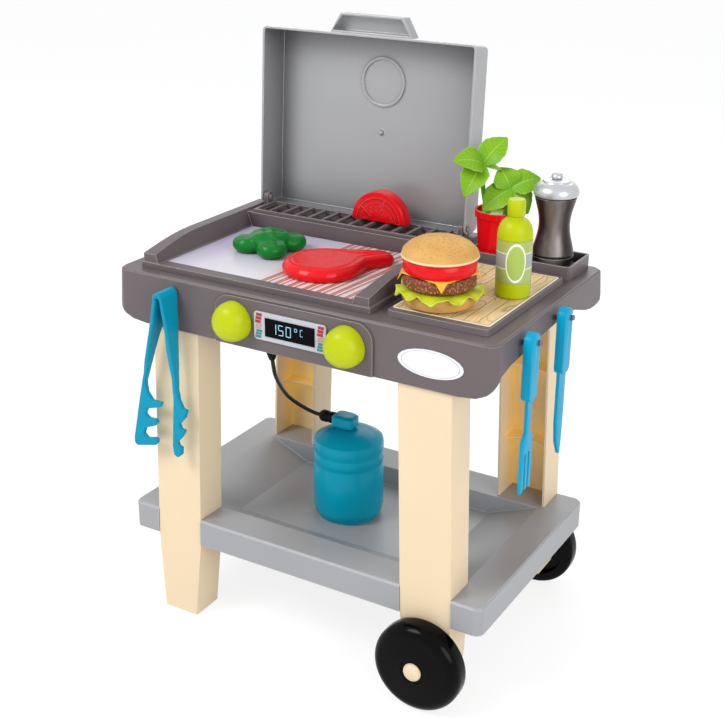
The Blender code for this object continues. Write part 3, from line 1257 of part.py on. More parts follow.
def build_plant(stand):
    low = floor_top + CADDY_FLOOR + FIT_GAP
    foot, radius, height, wall = POT_FOOT_RADIUS, POT_RADIUS, POT_HEIGHT, POT_WALL
    rim = wall * 2
    profile = ((foot, 0.0), (radius - wall, height - rim * 2), (radius, height - rim * 2), (radius, height),
               (radius - wall, height), (radius - wall * 2, height - rim * 2), (foot - wall, wall * 2))
    centre = (POT_X, POT_Y, low)
    add_object("plant_pot", turned("plant_pot", profile, centre, sides=36), stand, "red")
    soil_top = height - SOIL_DEPTH
    lip = height - rim * 2
    inside = radius - wall * 2 - FIT_GAP
    widen = wall * (soil_top - lip) / (height - lip)
    profile = ((inside - wall / 2, soil_top - rim), (inside, lip), (inside + widen, soil_top - FIT_GAP))
    add_object("pot_filling", turned("pot_filling", profile, centre, sides=36), stand, "leaf")
    facing = Vector(LEAF_FACING)
    sprigs = zip(("sprig_left", "sprig_right"), SPRIG_FEET, SPRIG_TOPS, SPRIG_LEAF_SHARES)
    for name, foot_shift, star, reaches in sprigs:
        start = Vector((POT_X + foot_shift, POT_Y, low + soil_top))
        top = Vector((POT_X, POT_Y, low + soil_top)) + Vector(star)
        rings = [[tuple(at + Vector(point)) for point in circle(STEM_RADIUS, 0.0, (0.0, 0.0, 0.0), sides=12)]
                 for at in (start, start + (top - start) * 0.45 + Vector((foot_shift / 2, 0.0, 0.0)), top)]
        sprig = add_object(name, skin(name, rings), stand, "leaf")
        for i, share in enumerate(reaches):
            reach = Vector(share) * LEAF_LENGTH
            join(sprig, leaf("%s_leaf_%d" % (name, i + 1), top - reach.normalized() * STEM_RADIUS / 2, reach, facing),
                 stand)


def build_mill(stand):
    low = floor_top + CADDY_FLOOR + FIT_GAP
    foot, waist, height = MILL_FOOT_RADIUS, MILL_WAIST_RADIUS, MILL_HEIGHT
    profile = [(foot * 0.94, 0.0), (foot, height * 0.02), (foot, height * 0.09), (foot * 0.90, height * 0.105),
               (foot, height * 0.12), (foot, height * 0.19), (foot * 0.89, height * 0.205), (foot, height * 0.225)]
    for i in range(1, 9):
        share = i / 8
        bend = math.sin(math.pi * share) ** 1.2
        profile.append((at_share(foot, waist, bend), height * at_share(0.24, 1.0, share)))
    centre = (MILL_X, MILL_Y, low)
    add_object("mill_body", turned("mill_body", profile, centre, sides=36), stand, "anthracite")
    cap, rise, base = MILL_CAP_RADIUS, MILL_CAP_HEIGHT, height + RUN_GAP
    shares = ((0.88, 0.0), (0.98, 0.10), (1.0, 0.28), (0.95, 0.52), (0.80, 0.74), (0.62, 0.82), (0.58, 0.92),
              (0.42, 1.0))
    profile = [(cap * r, base + rise * h) for r, h in shares]
    add_object("mill_cap", turned("mill_cap", profile, centre, sides=36), stand, "silver")
    nub, top = MILL_NUB_RADIUS, base + rise + FIT_GAP
    shares = ((0.8, 0.0), (1.0, 0.3), (0.9, 0.7), (0.5, 1.0))
    profile = [(nub * r, top + MILL_NUB_HEIGHT * h) for r, h in shares]
    add_object("mill_nub", turned("mill_nub", profile, centre, sides=20), stand, "silver")


def stand_offset():
    """The shift that puts the middle of the whole object's plan on the origin."""
    left = WORKTOP_WIDTH / 2 + APRON_FLARE * max(s for d, s in APRON_SIDE_SHARES if d > APRON_SIDE_SHARES[0][0])
    knife_peg_y = KNIFE_Y + UTENSIL_HANDLE_WIDTH / 2 - UTENSIL_NOTCH + SIDE_PEG_RADIUS
    fork_peg_y = FORK_Y + UTENSIL_HANDLE_WIDTH / 2 - UTENSIL_NOTCH + SIDE_PEG_RADIUS
    root = max(apron_x(knife_peg_y, SIDE_PEG_DROP), apron_x(fork_peg_y, SIDE_PEG_DROP))
    right = root + SIDE_PEG_REACH * math.cos(PEG_TILT) + SIDE_PEG_RADIUS * math.sin(PEG_TILT)
    front = TONGS_STAND_OFF + TONGS_BOW_DEPTH
    back = WORKTOP_DEPTH + WHEEL_GAP + WHEEL_WIDTH + RUN_GAP + AXLE_HEAD - LEG_INSET
    return (left - right) / 2, (front - back) / 2


def main():
    clear_scene()
    stand = add_empty("stand", (*stand_offset(), 0.0))
    build_worktop(stand)
    build_front(stand)
    build_knobs(stand)
    build_firebox(stand)
    build_lid(stand)
    build_board(stand)
    build_caddy(stand)
    build_legs(stand)
    build_shelf(stand)
    build_wheels(stand)
    build_utensils(stand)
    build_gas_bottle(stand)
    build_burger(stand)
    build_food(stand)
    build_sauce(stand)
    build_plant(stand)
    build_mill(stand)
    bpy.context.view_layer.update()


main()
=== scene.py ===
import json
import math

import bpy
from mathutils import Euler, Matrix, Vector

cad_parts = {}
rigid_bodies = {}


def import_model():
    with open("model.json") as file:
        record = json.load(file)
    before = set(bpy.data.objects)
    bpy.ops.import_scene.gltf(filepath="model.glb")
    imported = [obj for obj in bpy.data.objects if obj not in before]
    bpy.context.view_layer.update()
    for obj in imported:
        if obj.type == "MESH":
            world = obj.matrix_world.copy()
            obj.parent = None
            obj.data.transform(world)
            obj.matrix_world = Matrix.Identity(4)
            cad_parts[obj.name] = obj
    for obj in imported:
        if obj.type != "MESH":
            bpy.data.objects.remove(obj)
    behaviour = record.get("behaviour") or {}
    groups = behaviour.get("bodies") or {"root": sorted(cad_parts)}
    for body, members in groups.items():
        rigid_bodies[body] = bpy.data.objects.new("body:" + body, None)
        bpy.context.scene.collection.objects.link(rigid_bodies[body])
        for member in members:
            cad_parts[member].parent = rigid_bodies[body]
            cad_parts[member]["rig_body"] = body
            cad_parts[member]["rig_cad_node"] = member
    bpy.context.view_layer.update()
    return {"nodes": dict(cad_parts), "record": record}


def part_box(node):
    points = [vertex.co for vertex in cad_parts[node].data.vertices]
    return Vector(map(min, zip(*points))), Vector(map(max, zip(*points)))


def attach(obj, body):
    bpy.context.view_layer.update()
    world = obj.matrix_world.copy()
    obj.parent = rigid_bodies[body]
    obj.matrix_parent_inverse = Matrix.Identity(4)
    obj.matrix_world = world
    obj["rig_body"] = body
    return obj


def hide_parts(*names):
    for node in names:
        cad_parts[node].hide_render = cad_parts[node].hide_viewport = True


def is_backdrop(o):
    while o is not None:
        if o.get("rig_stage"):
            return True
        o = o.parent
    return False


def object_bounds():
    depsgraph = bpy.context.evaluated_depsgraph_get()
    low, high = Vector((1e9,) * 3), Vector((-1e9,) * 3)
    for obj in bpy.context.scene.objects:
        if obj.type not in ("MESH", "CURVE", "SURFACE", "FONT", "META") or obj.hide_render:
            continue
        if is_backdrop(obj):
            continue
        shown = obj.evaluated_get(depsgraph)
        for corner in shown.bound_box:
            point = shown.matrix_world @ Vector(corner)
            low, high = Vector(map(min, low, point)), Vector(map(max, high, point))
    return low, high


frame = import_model()
bpy.context.scene.view_settings.view_transform = "Standard"


# A value in a node tree, with the usual sums and products.
class Wire:
    def __init__(self, paint, socket):
        self.paint = paint
        self.socket = socket

    def maths(self, kind, *others):
        return self.paint.maths(kind, self, *others)

    def __add__(self, other):
        return self.maths("ADD", other)

    def __radd__(self, other):
        return self.maths("ADD", other)

    def __sub__(self, other):
        return self.maths("SUBTRACT", other)

    def __rsub__(self, other):
        return self.paint.maths("SUBTRACT", other, self)

    def __mul__(self, other):
        return self.maths("MULTIPLY", other)

    def __rmul__(self, other):
        return self.maths("MULTIPLY", other)

    def __truediv__(self, other):
        return self.maths("DIVIDE", other)

    def __pow__(self, other):
        return self.maths("POWER", other)

    def __neg__(self):
        return self.maths("MULTIPLY", -1.0)

    def size(self):
        return self.maths("ABSOLUTE")

    def sine(self):
        return self.maths("SINE")

    def part(self):
        return self.maths("FRACT")

    def smallest(self, other):
        return self.maths("MINIMUM", other)

    def largest(self, other):
        return self.maths("MAXIMUM", other)

    # Goes from 0 to 1 smoothly while the value goes from low to high.
    def ramp(self, low, high):
        made = self.paint.node("ShaderNodeMapRange", {"interpolation_type": "SMOOTHSTEP"},
                               Value=self, **{"From Min": low, "From Max": high})
        return Wire(self.paint, made.outputs["Result"])


# One material and its node tree.
class Paint:
    def __init__(self, name):
        self.material = bpy.data.materials.new(name)
        self.material.use_nodes = True
        self.tree = self.material.node_tree
        self.tree.nodes.clear()
        self.shader = self.node("ShaderNodeBsdfPrincipled")
        out = self.node("ShaderNodeOutputMaterial")
        self.tree.links.new(self.shader.outputs[0], out.inputs["Surface"])

    # Makes a node: its settings first, then its sockets, by name or by number.
    def node(self, kind, settings=None, **sockets):
        made = self.tree.nodes.new(kind)
        for key, value in (settings or {}).items():
            setattr(made, key, value)
        for key, value in sockets.items():
            self.join(made.inputs[int(key[1:])] if key[1:].isdigit() else made.inputs[key], value)
        return made

    def join(self, socket, value):
        if isinstance(value, Wire):
            self.tree.links.new(value.socket, socket)
        elif isinstance(value, (tuple, list)) and len(value) == 3 and len(socket.default_value) == 4:
            socket.default_value = (*value, 1.0)
        else:
            socket.default_value = value

    def maths(self, kind, *values):
        made = self.node("ShaderNodeMath", {"operation": kind})
        for socket, value in zip(made.inputs, values):
            self.join(socket, value)
        return Wire(self, made.outputs[0])

    # The point on the piece, in metres from a middle, as one vector wire.
    def place(self, middle=(0.0, 0.0, 0.0), turn=(0.0, 0.0, 0.0), scale=(1.0, 1.0, 1.0)):
        spot = self.node("ShaderNodeTexCoord").outputs["Object"]
        moved = self.node("ShaderNodeMapping", {"vector_type": "TEXTURE"}, Vector=Wire(self, spot),
                          Location=middle, Rotation=turn, Scale=scale)
        return Wire(self, moved.outputs[0])

    def axes(self, place):
        made = self.node("ShaderNodeSeparateXYZ", None, Vector=place)
        return [Wire(self, socket) for socket in made.outputs]

    def noise(self, place, scale, detail=2.0):
        made = self.node("ShaderNodeTexNoise", None, Vector=place, Scale=scale, Detail=detail)
        return Wire(self, made.outputs["Fac"])

    def cells(self, place, scale):
        made = self.node("ShaderNodeTexVoronoi", None, Vector=place, Scale=scale)
        return Wire(self, made.outputs["Distance"])

    def blend(self, share, first, second):
        made = self.node("ShaderNodeMix", {"data_type": "RGBA"}, _0=share, _6=first, _7=second)
        return Wire(self, made.outputs[2])

    # How near a point is to an edge of the piece, from 0 to 1, and the rounded normal there.
    def edges(self, radius):
        round_ = self.node("ShaderNodeBevel", {"samples": 6}, Radius=radius)
        flat = self.node("ShaderNodeNewGeometry").outputs["Normal"]
        dot = self.node("ShaderNodeVectorMath", {"operation": "DOT_PRODUCT"},
                        _0=Wire(self, round_.outputs[0]), _1=Wire(self, flat))
        near = (1.0 - Wire(self, dot.outputs["Value"])).ramp(0.004, 0.16)
        return near, Wire(self, round_.outputs[0])

    def bump(self, height, strength, depth, normal=None):
        sockets = {"Height": height, "Strength": strength, "Distance": depth}
        if normal:
            sockets["Normal"] = normal
        return Wire(self, self.node("ShaderNodeBump", None, **sockets).outputs[0])

    def finish(self, **sockets):
        for key, value in sockets.items():
            self.join(self.shader.inputs[key.replace("_", " ")], value)
        return self.material


# A colour in screen values, 0 to 255, as linear ones.
def tone(*levels):
    return tuple(((v / 255 + 0.055) / 1.055) ** 2.4 if v > 10 else v / 255 / 12.92 for v in levels)


def times(colour, share):
    return tuple(min(1.0, v * share) for v in colour)


def toward(colour, other, share):
    return tuple(a + (b - a) * share for a, b in zip(colour, other))


# Moulded plastic: a slow drift of colour, a fine eroded grain, painted highlights along the edges and rounded
# corners.
# Painted shade darkens the piece's own hollows, and a painted glow lights them, standing in for light through
# thin walls.
def plastic(name, colour, rough=0.42, grain=1500.0, grainDepth=0.00012, drift=0.08, edgeHighlight=0.35, rim=0.0012,
            coat=0.0, edgeTone=None, metal=0.0, sheenScale=8.0, shine=0.35, shade=None,
            shadeReach=0.05, glow=0.0):
    paint = Paint(name)
    place = paint.place()
    cloud = paint.noise(place, sheenScale, 3.0)
    fine = paint.noise(place, grain, 1.0)
    near, normal = paint.edges(rim)
    body = paint.blend(cloud, times(colour, 1.0 - drift), times(colour, 1.0 + drift))
    if shade:
        open_ = paint.node("ShaderNodeAmbientOcclusion", {"samples": 8, "only_local": True},
                           Distance=shadeReach).outputs["AO"]
        deep = (1.0 - Wire(paint, open_)).ramp(0.15, 0.6)
        # Painted shade: the hollows darken towards the shade colour, and with a glow they also get a painted
        # glow of that colour.
        body = paint.blend(deep * 0.85, body, shade)
        if glow:
            paint.finish(Emission_Color=paint.blend(deep, (0.0, 0.0, 0.0), shade), Emission_Strength=glow)
    # Painted highlight: the edges are lightened towards the edge tone.
    body = paint.blend(near * edgeHighlight, body, edgeTone or toward(colour, (1.0, 1.0, 1.0), 0.35))
    roughness = rough + (cloud - 0.5) * 0.14 + (fine - 0.5) * 0.08
    return paint.finish(Base_Color=body, Roughness=roughness, Metallic=metal, Coat_Weight=coat,
                        Coat_Roughness=0.12, Specular_IOR_Level=shine,
                        Normal=paint.bump(fine, 0.35, grainDepth, normal))


# The Edge tones, and the Light tones where they lighten edges, are painted edge highlights; creamShade is the
# painted shade and glow in the rear legs' hollows.
colours = {
    "anthracite": tone(102, 92, 94),
    "anthraciteEdge": tone(192, 183, 181),
    "lidGrey": tone(166, 167, 169),
    "lidEdge": tone(214, 215, 217),
    "shelfGrey": tone(157, 158, 161),
    "cream": tone(231, 209, 175),
    "creamShade": tone(232, 194, 104),
    "lime": tone(182, 195, 0),
    "limeLight": tone(206, 218, 36),
    "cyan": tone(0, 156, 196),
    "teal": tone(0, 158, 188),
    "black": tone(10, 10, 11),
    "red": tone(226, 8, 20),
    "green": tone(0, 114, 34),
    "leaf": tone(128, 202, 44),
    "leafLight": tone(176, 226, 96),
    "wood": tone(246, 224, 176),
    "woodLine": tone(132, 92, 48),
    "bun": tone(212, 164, 88),
    "bunPale": tone(240, 214, 164),
    "bunDark": tone(184, 126, 58),
    "patty": tone(122, 62, 34),
    "pattyLight": tone(198, 148, 100),
    "cheese": tone(250, 178, 38),
    "lettuce": tone(190, 200, 28),
    "lettuceLight": tone(216, 226, 90),
    "plateWhite": tone(226, 222, 230),
    "lilac": tone(190, 182, 206),
    "stripe": tone(206, 112, 62),
    "stripeDark": tone(112, 58, 44),
    "display": tone(186, 187, 194),
    "digits": tone(150, 206, 222),
    "silver": tone(196, 198, 202),
}

# Camera, lamps and floor.
cameraSettings = {
    "place": (0.71955, -1.2384, 0.9198),
    "turn": (69.21, 0.0, 30.39),
    "roll": 0.5,
    "lens": 63.87,
    "shift": -0.0497,
    "sensor": 36.0,
    "near": 0.05,
    "far": 60.0,
}
bpy.ops.object.camera_add(location=cameraSettings["place"])
camera = bpy.context.object
camera.name = "camera"
turned = Euler([math.radians(a) for a in cameraSettings["turn"]], "XYZ").to_matrix().to_4x4()
camera.matrix_world = (Matrix.Translation(cameraSettings["place"]) @ turned
                       @ Matrix.Rotation(math.radians(cameraSettings["roll"]), 4, "Z"))
camera.data.sensor_width = cameraSettings["sensor"]
camera.data.lens = cameraSettings["lens"]
camera.data.shift_y = cameraSettings["shift"]
camera.data.clip_start = cameraSettings["near"]
camera.data.clip_end = cameraSettings["far"]
bpy.context.scene.camera = camera

lampSettings = {
    # name: (place, aim, size, watts)
    "key": ((-1.1, -1.7, 2.3), (0.0, 0.0, 0.35), 1.3, 40.0),
    "fill": ((2.4, -1.2, 1.3), (0.0, 0.0, 0.3), 1.8, 31.0),
    "back": ((-0.6, 2.2, 1.9), (0.0, 0.0, 0.4), 1.8, 12.0),
}
for name, (place, aim, size, watts) in lampSettings.items():
    bpy.ops.object.light_add(type="AREA", location=place)
    lamp = bpy.context.object
    lamp.name = name
    lamp.data.shape = "DISK"
    lamp.data.size = size
    lamp.data.energy = watts
    lamp.rotation_euler = (Vector(aim) - Vector(place)).to_track_quat("-Z", "Y").to_euler()

# The surroundings: brighter where the camera and mirrored or passing rays see them than where they light.
worldSettings = {"dim": ((0.97, 0.98, 1.0, 1.0), 0.63), "bright": ((1.0, 1.0, 1.0, 1.0), 1.0)}
world = bpy.data.worlds.new("studio")
bpy.context.scene.world = world
world.use_nodes = True
tree = world.node_tree
tree.nodes.clear()
lightPath = tree.nodes.new("ShaderNodeLightPath")
clear = tree.nodes.new("ShaderNodeMath")
seen = tree.nodes.new("ShaderNodeMath")
clear.operation = seen.operation = "MAXIMUM"
tree.links.new(lightPath.outputs["Is Glossy Ray"], clear.inputs[0])
tree.links.new(lightPath.outputs["Is Transmission Ray"], clear.inputs[1])
tree.links.new(lightPath.outputs["Is Camera Ray"], seen.inputs[0])
tree.links.new(clear.outputs[0], seen.inputs[1])
mixed = tree.nodes.new("ShaderNodeMixShader")
tree.links.new(seen.outputs[0], mixed.inputs[0])
for socket, (colour, strength) in zip(mixed.inputs[1:], worldSettings.values()):
    backdrop = tree.nodes.new("ShaderNodeBackground")
    backdrop.inputs["Color"].default_value = colour
    backdrop.inputs["Strength"].default_value = strength
    tree.links.new(backdrop.outputs[0], socket)
out = tree.nodes.new("ShaderNodeOutputWorld")
tree.links.new(mixed.outputs[0], out.inputs["Surface"])

floorSettings = {"radius": 9.0, "drop": 0.0004, "dark": (0.90, 0.90, 0.90), "light": (0.93, 0.93, 0.93),
                 "rough": 0.9, "glow": 1.16, "glowShare": 0.68}
bpy.ops.mesh.primitive_circle_add(vertices=96, radius=floorSettings["radius"], fill_type="NGON",
                                  location=(0.0, 0.0, -floorSettings["drop"]))
floor = bpy.context.object
floor.name = "floor"
floorPaint = Paint("floor")
drift = floorPaint.noise(floorPaint.place(), 1.5)
floorPaint.finish(Base_Color=floorPaint.blend(drift, floorSettings["dark"], floorSettings["light"]),
                  Roughness=floorSettings["rough"])
glow = floorPaint.node("ShaderNodeEmission", None, Color=(1.0, 1.0, 1.0), Strength=floorSettings["glow"])
path = floorPaint.node("ShaderNodeLightPath").outputs
ray = Wire(floorPaint, path["Is Camera Ray"]).largest(Wire(floorPaint, path["Is Glossy Ray"]))
ray = ray.largest(Wire(floorPaint, path["Is Transmission Ray"]))
both = floorPaint.node("ShaderNodeMixShader", None, _0=ray * floorSettings["glowShare"],
                       _1=Wire(floorPaint, floorPaint.shader.outputs[0]),
                       _2=Wire(floorPaint, glow.outputs[0]))
surface = floorPaint.tree.nodes["Material Output"].inputs["Surface"]
floorPaint.tree.links.new(both.outputs[0], surface)
floor.data.materials.append(floorPaint.material)
floor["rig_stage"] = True
print("scene: camera, lamps and floor")

def workOn(piece):
    bpy.ops.object.select_all(action="DESELECT")
    piece.select_set(True)
    bpy.context.view_layer.objects.active = piece


# Adds one modifier to a piece and applies it.
def applied(piece, kind, **settings):
    workOn(piece)
    step = piece.modifiers.new("step", kind)
    for key, value in settings.items():
        setattr(step, key, value)
    bpy.ops.object.modifier_apply(modifier="step")
    return piece


# Copies a CAD node's mesh as a piece, merged and smoothed, that stands for the node.
def copyOf(node, material, smooth=40.0, bevel=0.0):
    workOn(frame["nodes"][node])
    bpy.ops.object.duplicate()
    piece = bpy.context.object
    piece.parent = None
    piece.name = node + "_look"
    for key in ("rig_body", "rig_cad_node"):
        if key in piece:
            del piece[key]
    bpy.ops.object.mode_set(mode="EDIT")
    bpy.ops.mesh.select_all(action="SELECT")
    bpy.ops.mesh.customdata_custom_splitnormals_clear()
    bpy.ops.mesh.remove_doubles(threshold=0.00001)
    bpy.ops.mesh.tris_convert_to_quads(face_threshold=0.01, shape_threshold=0.8)
    bpy.ops.object.mode_set(mode="OBJECT")
    if bevel:
        applied(piece, "BEVEL", width=bevel, segments=2, limit_method="ANGLE", angle_limit=math.radians(40.0))
    bpy.ops.object.shade_smooth_by_angle(angle=math.radians(smooth))
    piece.data.materials.clear()
    piece.data.materials.append(material)
    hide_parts(node)
    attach(piece, bodyOf[node])
    return piece


# Names a new piece and gives it its material and body.
def claim(piece, name, body, material=None, smooth=None):
    piece.name = name
    if material:
        piece.data.materials.clear()
        piece.data.materials.append(material)
    if smooth:
        bpy.ops.object.shade_smooth_by_angle(angle=math.radians(smooth))
    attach(piece, body)
    return piece


# Bakes an object's place into its mesh, so that its origin is the world's.
def settle(piece):
    workOn(piece)
    bpy.ops.object.transform_apply(location=True, rotation=True, scale=True)
    return piece


record = frame["record"]
bodyOf = {node: body for body, nodes in record["behaviour"]["bodies"].items() for node in nodes}
slotOf = {part["node"]: part["material_slot"] for part in record["subparts"]}

# The hose, along the route that its solid follows.
hoseSettings = {
    "diameter": 0.0048,
    "points": [
        (-0.04918, -0.1282, 0.3767), (-0.04918, -0.1279, 0.368), (-0.05098, -0.1232, 0.356),
        (-0.05350, -0.11838, 0.34922), (-0.05718, -0.1117, 0.342), (-0.06225, -0.10273, 0.3345),
        (-0.06818, -0.0922, 0.3265), (-0.07238, -0.08461, 0.32078), (-0.07681, -0.07651, 0.31478),
        (-0.08118, -0.0682, 0.3085), (-0.08559, -0.0595, 0.30176), (-0.08994, -0.05057, 0.29474),
        (-0.09368, -0.0422, 0.288), (-0.09799, -0.03089, 0.27847), (-0.10068, -0.0212, 0.27),
        (-0.10018, -0.0082, 0.258), (-0.09418, -0.0002, 0.2495), (-0.08568, 0.0038, 0.2442),
        (-0.07548, 0.0048, 0.2418), (-0.06828, 0.0048, 0.2418)],
}
hoseCurve = bpy.data.curves.new("gas_hose_look", "CURVE")
hoseCurve.dimensions = "3D"
hoseCurve.bevel_depth = hoseSettings["diameter"] / 2
hoseCurve.bevel_resolution = 5
hoseCurve.use_fill_caps = True
spline = hoseCurve.splines.new("POLY")
spline.points.add(len(hoseSettings["points"]) - 1)
for point, spot in zip(spline.points, hoseSettings["points"]):
    point.co = (*spot, 1.0)
hose = bpy.data.objects.new("gas_hose_look", hoseCurve)
bpy.context.scene.collection.objects.link(hose)
hosePairs = zip(hoseSettings["points"], hoseSettings["points"][1:])
hoseLength = sum((Vector(b) - Vector(a)).length for a, b in hosePairs)
hose.data.materials.append(plastic("hose_rubber", colours["black"], rough=0.5, grain=2500.0, edgeHighlight=0.1))
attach(hose, "stand")
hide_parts("gas_hose")
print("scene: hose")

# Materials by slot.
looks = {
    "anthracite": plastic("anthracite_moulding", colours["anthracite"], rough=0.40, edgeHighlight=0.75,
                          edgeTone=colours["anthraciteEdge"], drift=0.08, rim=0.0014, sheenScale=5.0,
                          shade=tone(58, 51, 54), shadeReach=0.03),
    "lid_grey": plastic("lid_grey_moulding", colours["lidGrey"], rough=0.34, edgeHighlight=0.8,
                        edgeTone=colours["lidEdge"], metal=0.3, drift=0.10, sheenScale=5.0,
                        shade=tone(104, 105, 108), shadeReach=0.14),
    "shelf_grey": plastic("shelf_moulding", colours["shelfGrey"], rough=0.38, edgeHighlight=0.85, drift=0.06, rim=0.0014,
                          edgeTone=tone(224, 226, 229), shade=tone(82, 84, 88), shadeReach=0.09, shine=0.45),
    "cream": plastic("cream_moulding", colours["cream"], rough=0.48, edgeHighlight=0.3, drift=0.03,
                     edgeTone=tone(250, 238, 214)),
    "lime": plastic("lime_gloss", colours["lime"], rough=0.34, edgeHighlight=0.25, drift=0.04,
                    edgeTone=colours["limeLight"], grainDepth=0.00004, shine=0.2),
    "cyan": plastic("cyan_gloss", colours["cyan"], rough=0.34, edgeHighlight=0.3, drift=0.05, grainDepth=0.00005,
                    edgeTone=tone(60, 186, 214), shine=0.15),
    "teal": plastic("teal_gloss", colours["teal"], rough=0.26, edgeHighlight=0.55, drift=0.06, grainDepth=0.00004,
                    edgeTone=tone(60, 196, 220), shine=0.16, rim=0.002),
    "black": plastic("black_gloss", colours["black"], rough=0.3, edgeHighlight=0.12, drift=0.1, grainDepth=0.00006,
                     shine=0.12),
    "red": plastic("red_gloss", colours["red"], rough=0.26, edgeHighlight=0.25, coat=0.1, drift=0.05,
                   grainDepth=0.00003, edgeTone=tone(240, 72, 70), shine=0.2),
    "green": plastic("green_gloss", colours["green"], rough=0.28, edgeHighlight=0.3, coat=0.05, drift=0.12,
                     grainDepth=0.00004, edgeTone=tone(60, 170, 84), rim=0.002, shine=0.2),
    "leaf": plastic("leaf_gloss", colours["leaf"], rough=0.34, edgeHighlight=0.8, drift=0.10,
                    edgeTone=colours["leafLight"], sheenScale=30.0),
    "yellow": plastic("cheese_gloss", colours["cheese"], rough=0.35, edgeHighlight=0.4, coat=0.2, drift=0.04),
    "silver": plastic("silver_satin", colours["silver"], rough=0.3, edgeHighlight=0.4, metal=0.6, drift=0.05,
                      grainDepth=0.00003),
}


# Printed slats: brown lines along the board, wavering round knots, inside a pale border.
woodSettings = {"slat": 0.0152, "shift": 0.35, "border": (0.0022, 0.0027), "line": (0.0030, 0.0035)}


def woodPrint():
    paint = Paint("wood_print")
    low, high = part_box("wood_panel")
    middle = (low + high) / 2
    x, y, _ = paint.axes(paint.place(middle=(middle.x, middle.y, 0.0)))
    wide, deep = (high.x - low.x) / 2, (high.y - low.y) / 2
    inset = (wide - x.size()).smallest(deep - y.size())
    waver = paint.noise(paint.place(scale=(1.0, 4.5, 1.0)), 55.0, 2.0)
    slat = x / woodSettings["slat"] + woodSettings["shift"] + (waver - 0.5) * 0.10
    seam = (slat.part() - 0.5).size().ramp(0.462, 0.482)
    tint = paint.noise(paint.place(scale=(woodSettings["slat"], 0.4, 1.0)), 1.0, 0.0)
    knots = paint.noise(paint.place(scale=(1.0, 2.6, 1.0)), 34.0, 0.0)
    grain = (knots * 6.0 + x * 90.0).part()
    grain = (grain - 0.5).size().ramp(0.085, 0.03)
    thin = ((x * 2050.0 + (waver - 0.5) * 9.0).sine() * 0.5 + 0.5) ** 8.0
    broken = paint.noise(paint.place(scale=(0.012, 0.05, 1.0)), 1.6, 1.0).ramp(0.40, 0.60)
    body = paint.blend(tint, colours["wood"], tone(236, 206, 150))
    body = paint.blend(thin * broken * 0.45, body, colours["woodLine"])
    body = paint.blend(grain * 0.45, body, colours["woodLine"])
    body = paint.blend(seam * 0.85, body, tone(112, 76, 40))
    body = paint.blend(1.0 - inset.ramp(*woodSettings["line"]), body, tone(110, 78, 44))
    body = paint.blend(1.0 - inset.ramp(*woodSettings["border"]), body, tone(248, 238, 210))
    return paint.finish(Base_Color=body, Roughness=0.42 + seam * 0.15, Coat_Weight=0.1, Coat_Roughness=0.15,
                        Specular_IOR_Level=0.3, Normal=paint.bump(grain * 0.3 + seam, 0.2, 0.0001))


# Printed plate: white fading to lilac, with bundles of brown and orange lines on the right.
plateSettings = {
    "corner": (-0.2051, -0.1159, 0.0),
    "lean": 0.10,
    "bundle": 0.0185,
    "start": 0.124,
    "lines": (  # middle and half width as shares of a bundle, strength and colour
        (0.14, 0.045, 0.95, colours["stripeDark"]), (0.27, 0.07, 0.9, colours["stripe"]),
        (0.385, 0.03, 0.95, colours["stripeDark"]), (0.64, 0.045, 0.95, colours["stripeDark"]),
        (0.745, 0.05, 0.8, tone(232, 146, 88))),
}


def platePrint():
    paint = Paint("plate_print")
    x, y, _ = paint.axes(paint.place(middle=plateSettings["corner"]))
    shade = paint.noise(paint.place(scale=(1.0, 2.0, 1.0)), 14.0, 2.0)
    fade = (x * -1.0 + y * 0.8 + 0.02 + (shade - 0.5) * 0.06).ramp(-0.10, 0.12)
    body = paint.blend(fade, colours["plateWhite"], colours["lilac"])
    lean = x - y * plateSettings["lean"]
    bundle = lean / plateSettings["bundle"]
    lane = paint.noise(paint.place(scale=(plateSettings["bundle"], 3.0, 1.0)), 1.3, 0.0)
    bundle = (bundle + (lane - 0.5) * 0.2).part()
    right = (lean - plateSettings["start"]).ramp(0.0, 0.004)
    body = paint.blend(right * 0.3, body, tone(240, 216, 214))
    for middle, half, share, colour in plateSettings["lines"]:
        line = (bundle - middle).size().ramp(half + 0.012, half - 0.012)
        body = paint.blend(line * right * share, body, colour)
    return paint.finish(Base_Color=body, Roughness=0.3 + shade * 0.08, Coat_Weight=0.15, Coat_Roughness=0.1,
                        Specular_IOR_Level=0.3)


# Textured meat: pale specks over brown.
def pattyGrain(middle):
    paint = Paint("patty_grain")
    place = paint.place(middle=middle, scale=(1.0, 1.0, 1.9))
    speck = paint.cells(place, 450.0)
    fine = paint.noise(place, 700.0, 2.0)
    light = speck.ramp(0.50, 0.24)
    body = paint.blend(light * 0.85, colours["patty"], colours["pattyLight"])
    body = paint.blend(fine.ramp(0.5, 0.72) * 0.5, body, tone(74, 34, 18))
    return paint.finish(Base_Color=body, Roughness=0.5 + light * 0.2, Specular_IOR_Level=0.3,
                        Normal=paint.bump(light + fine * 0.4, 0.9, 0.0012))


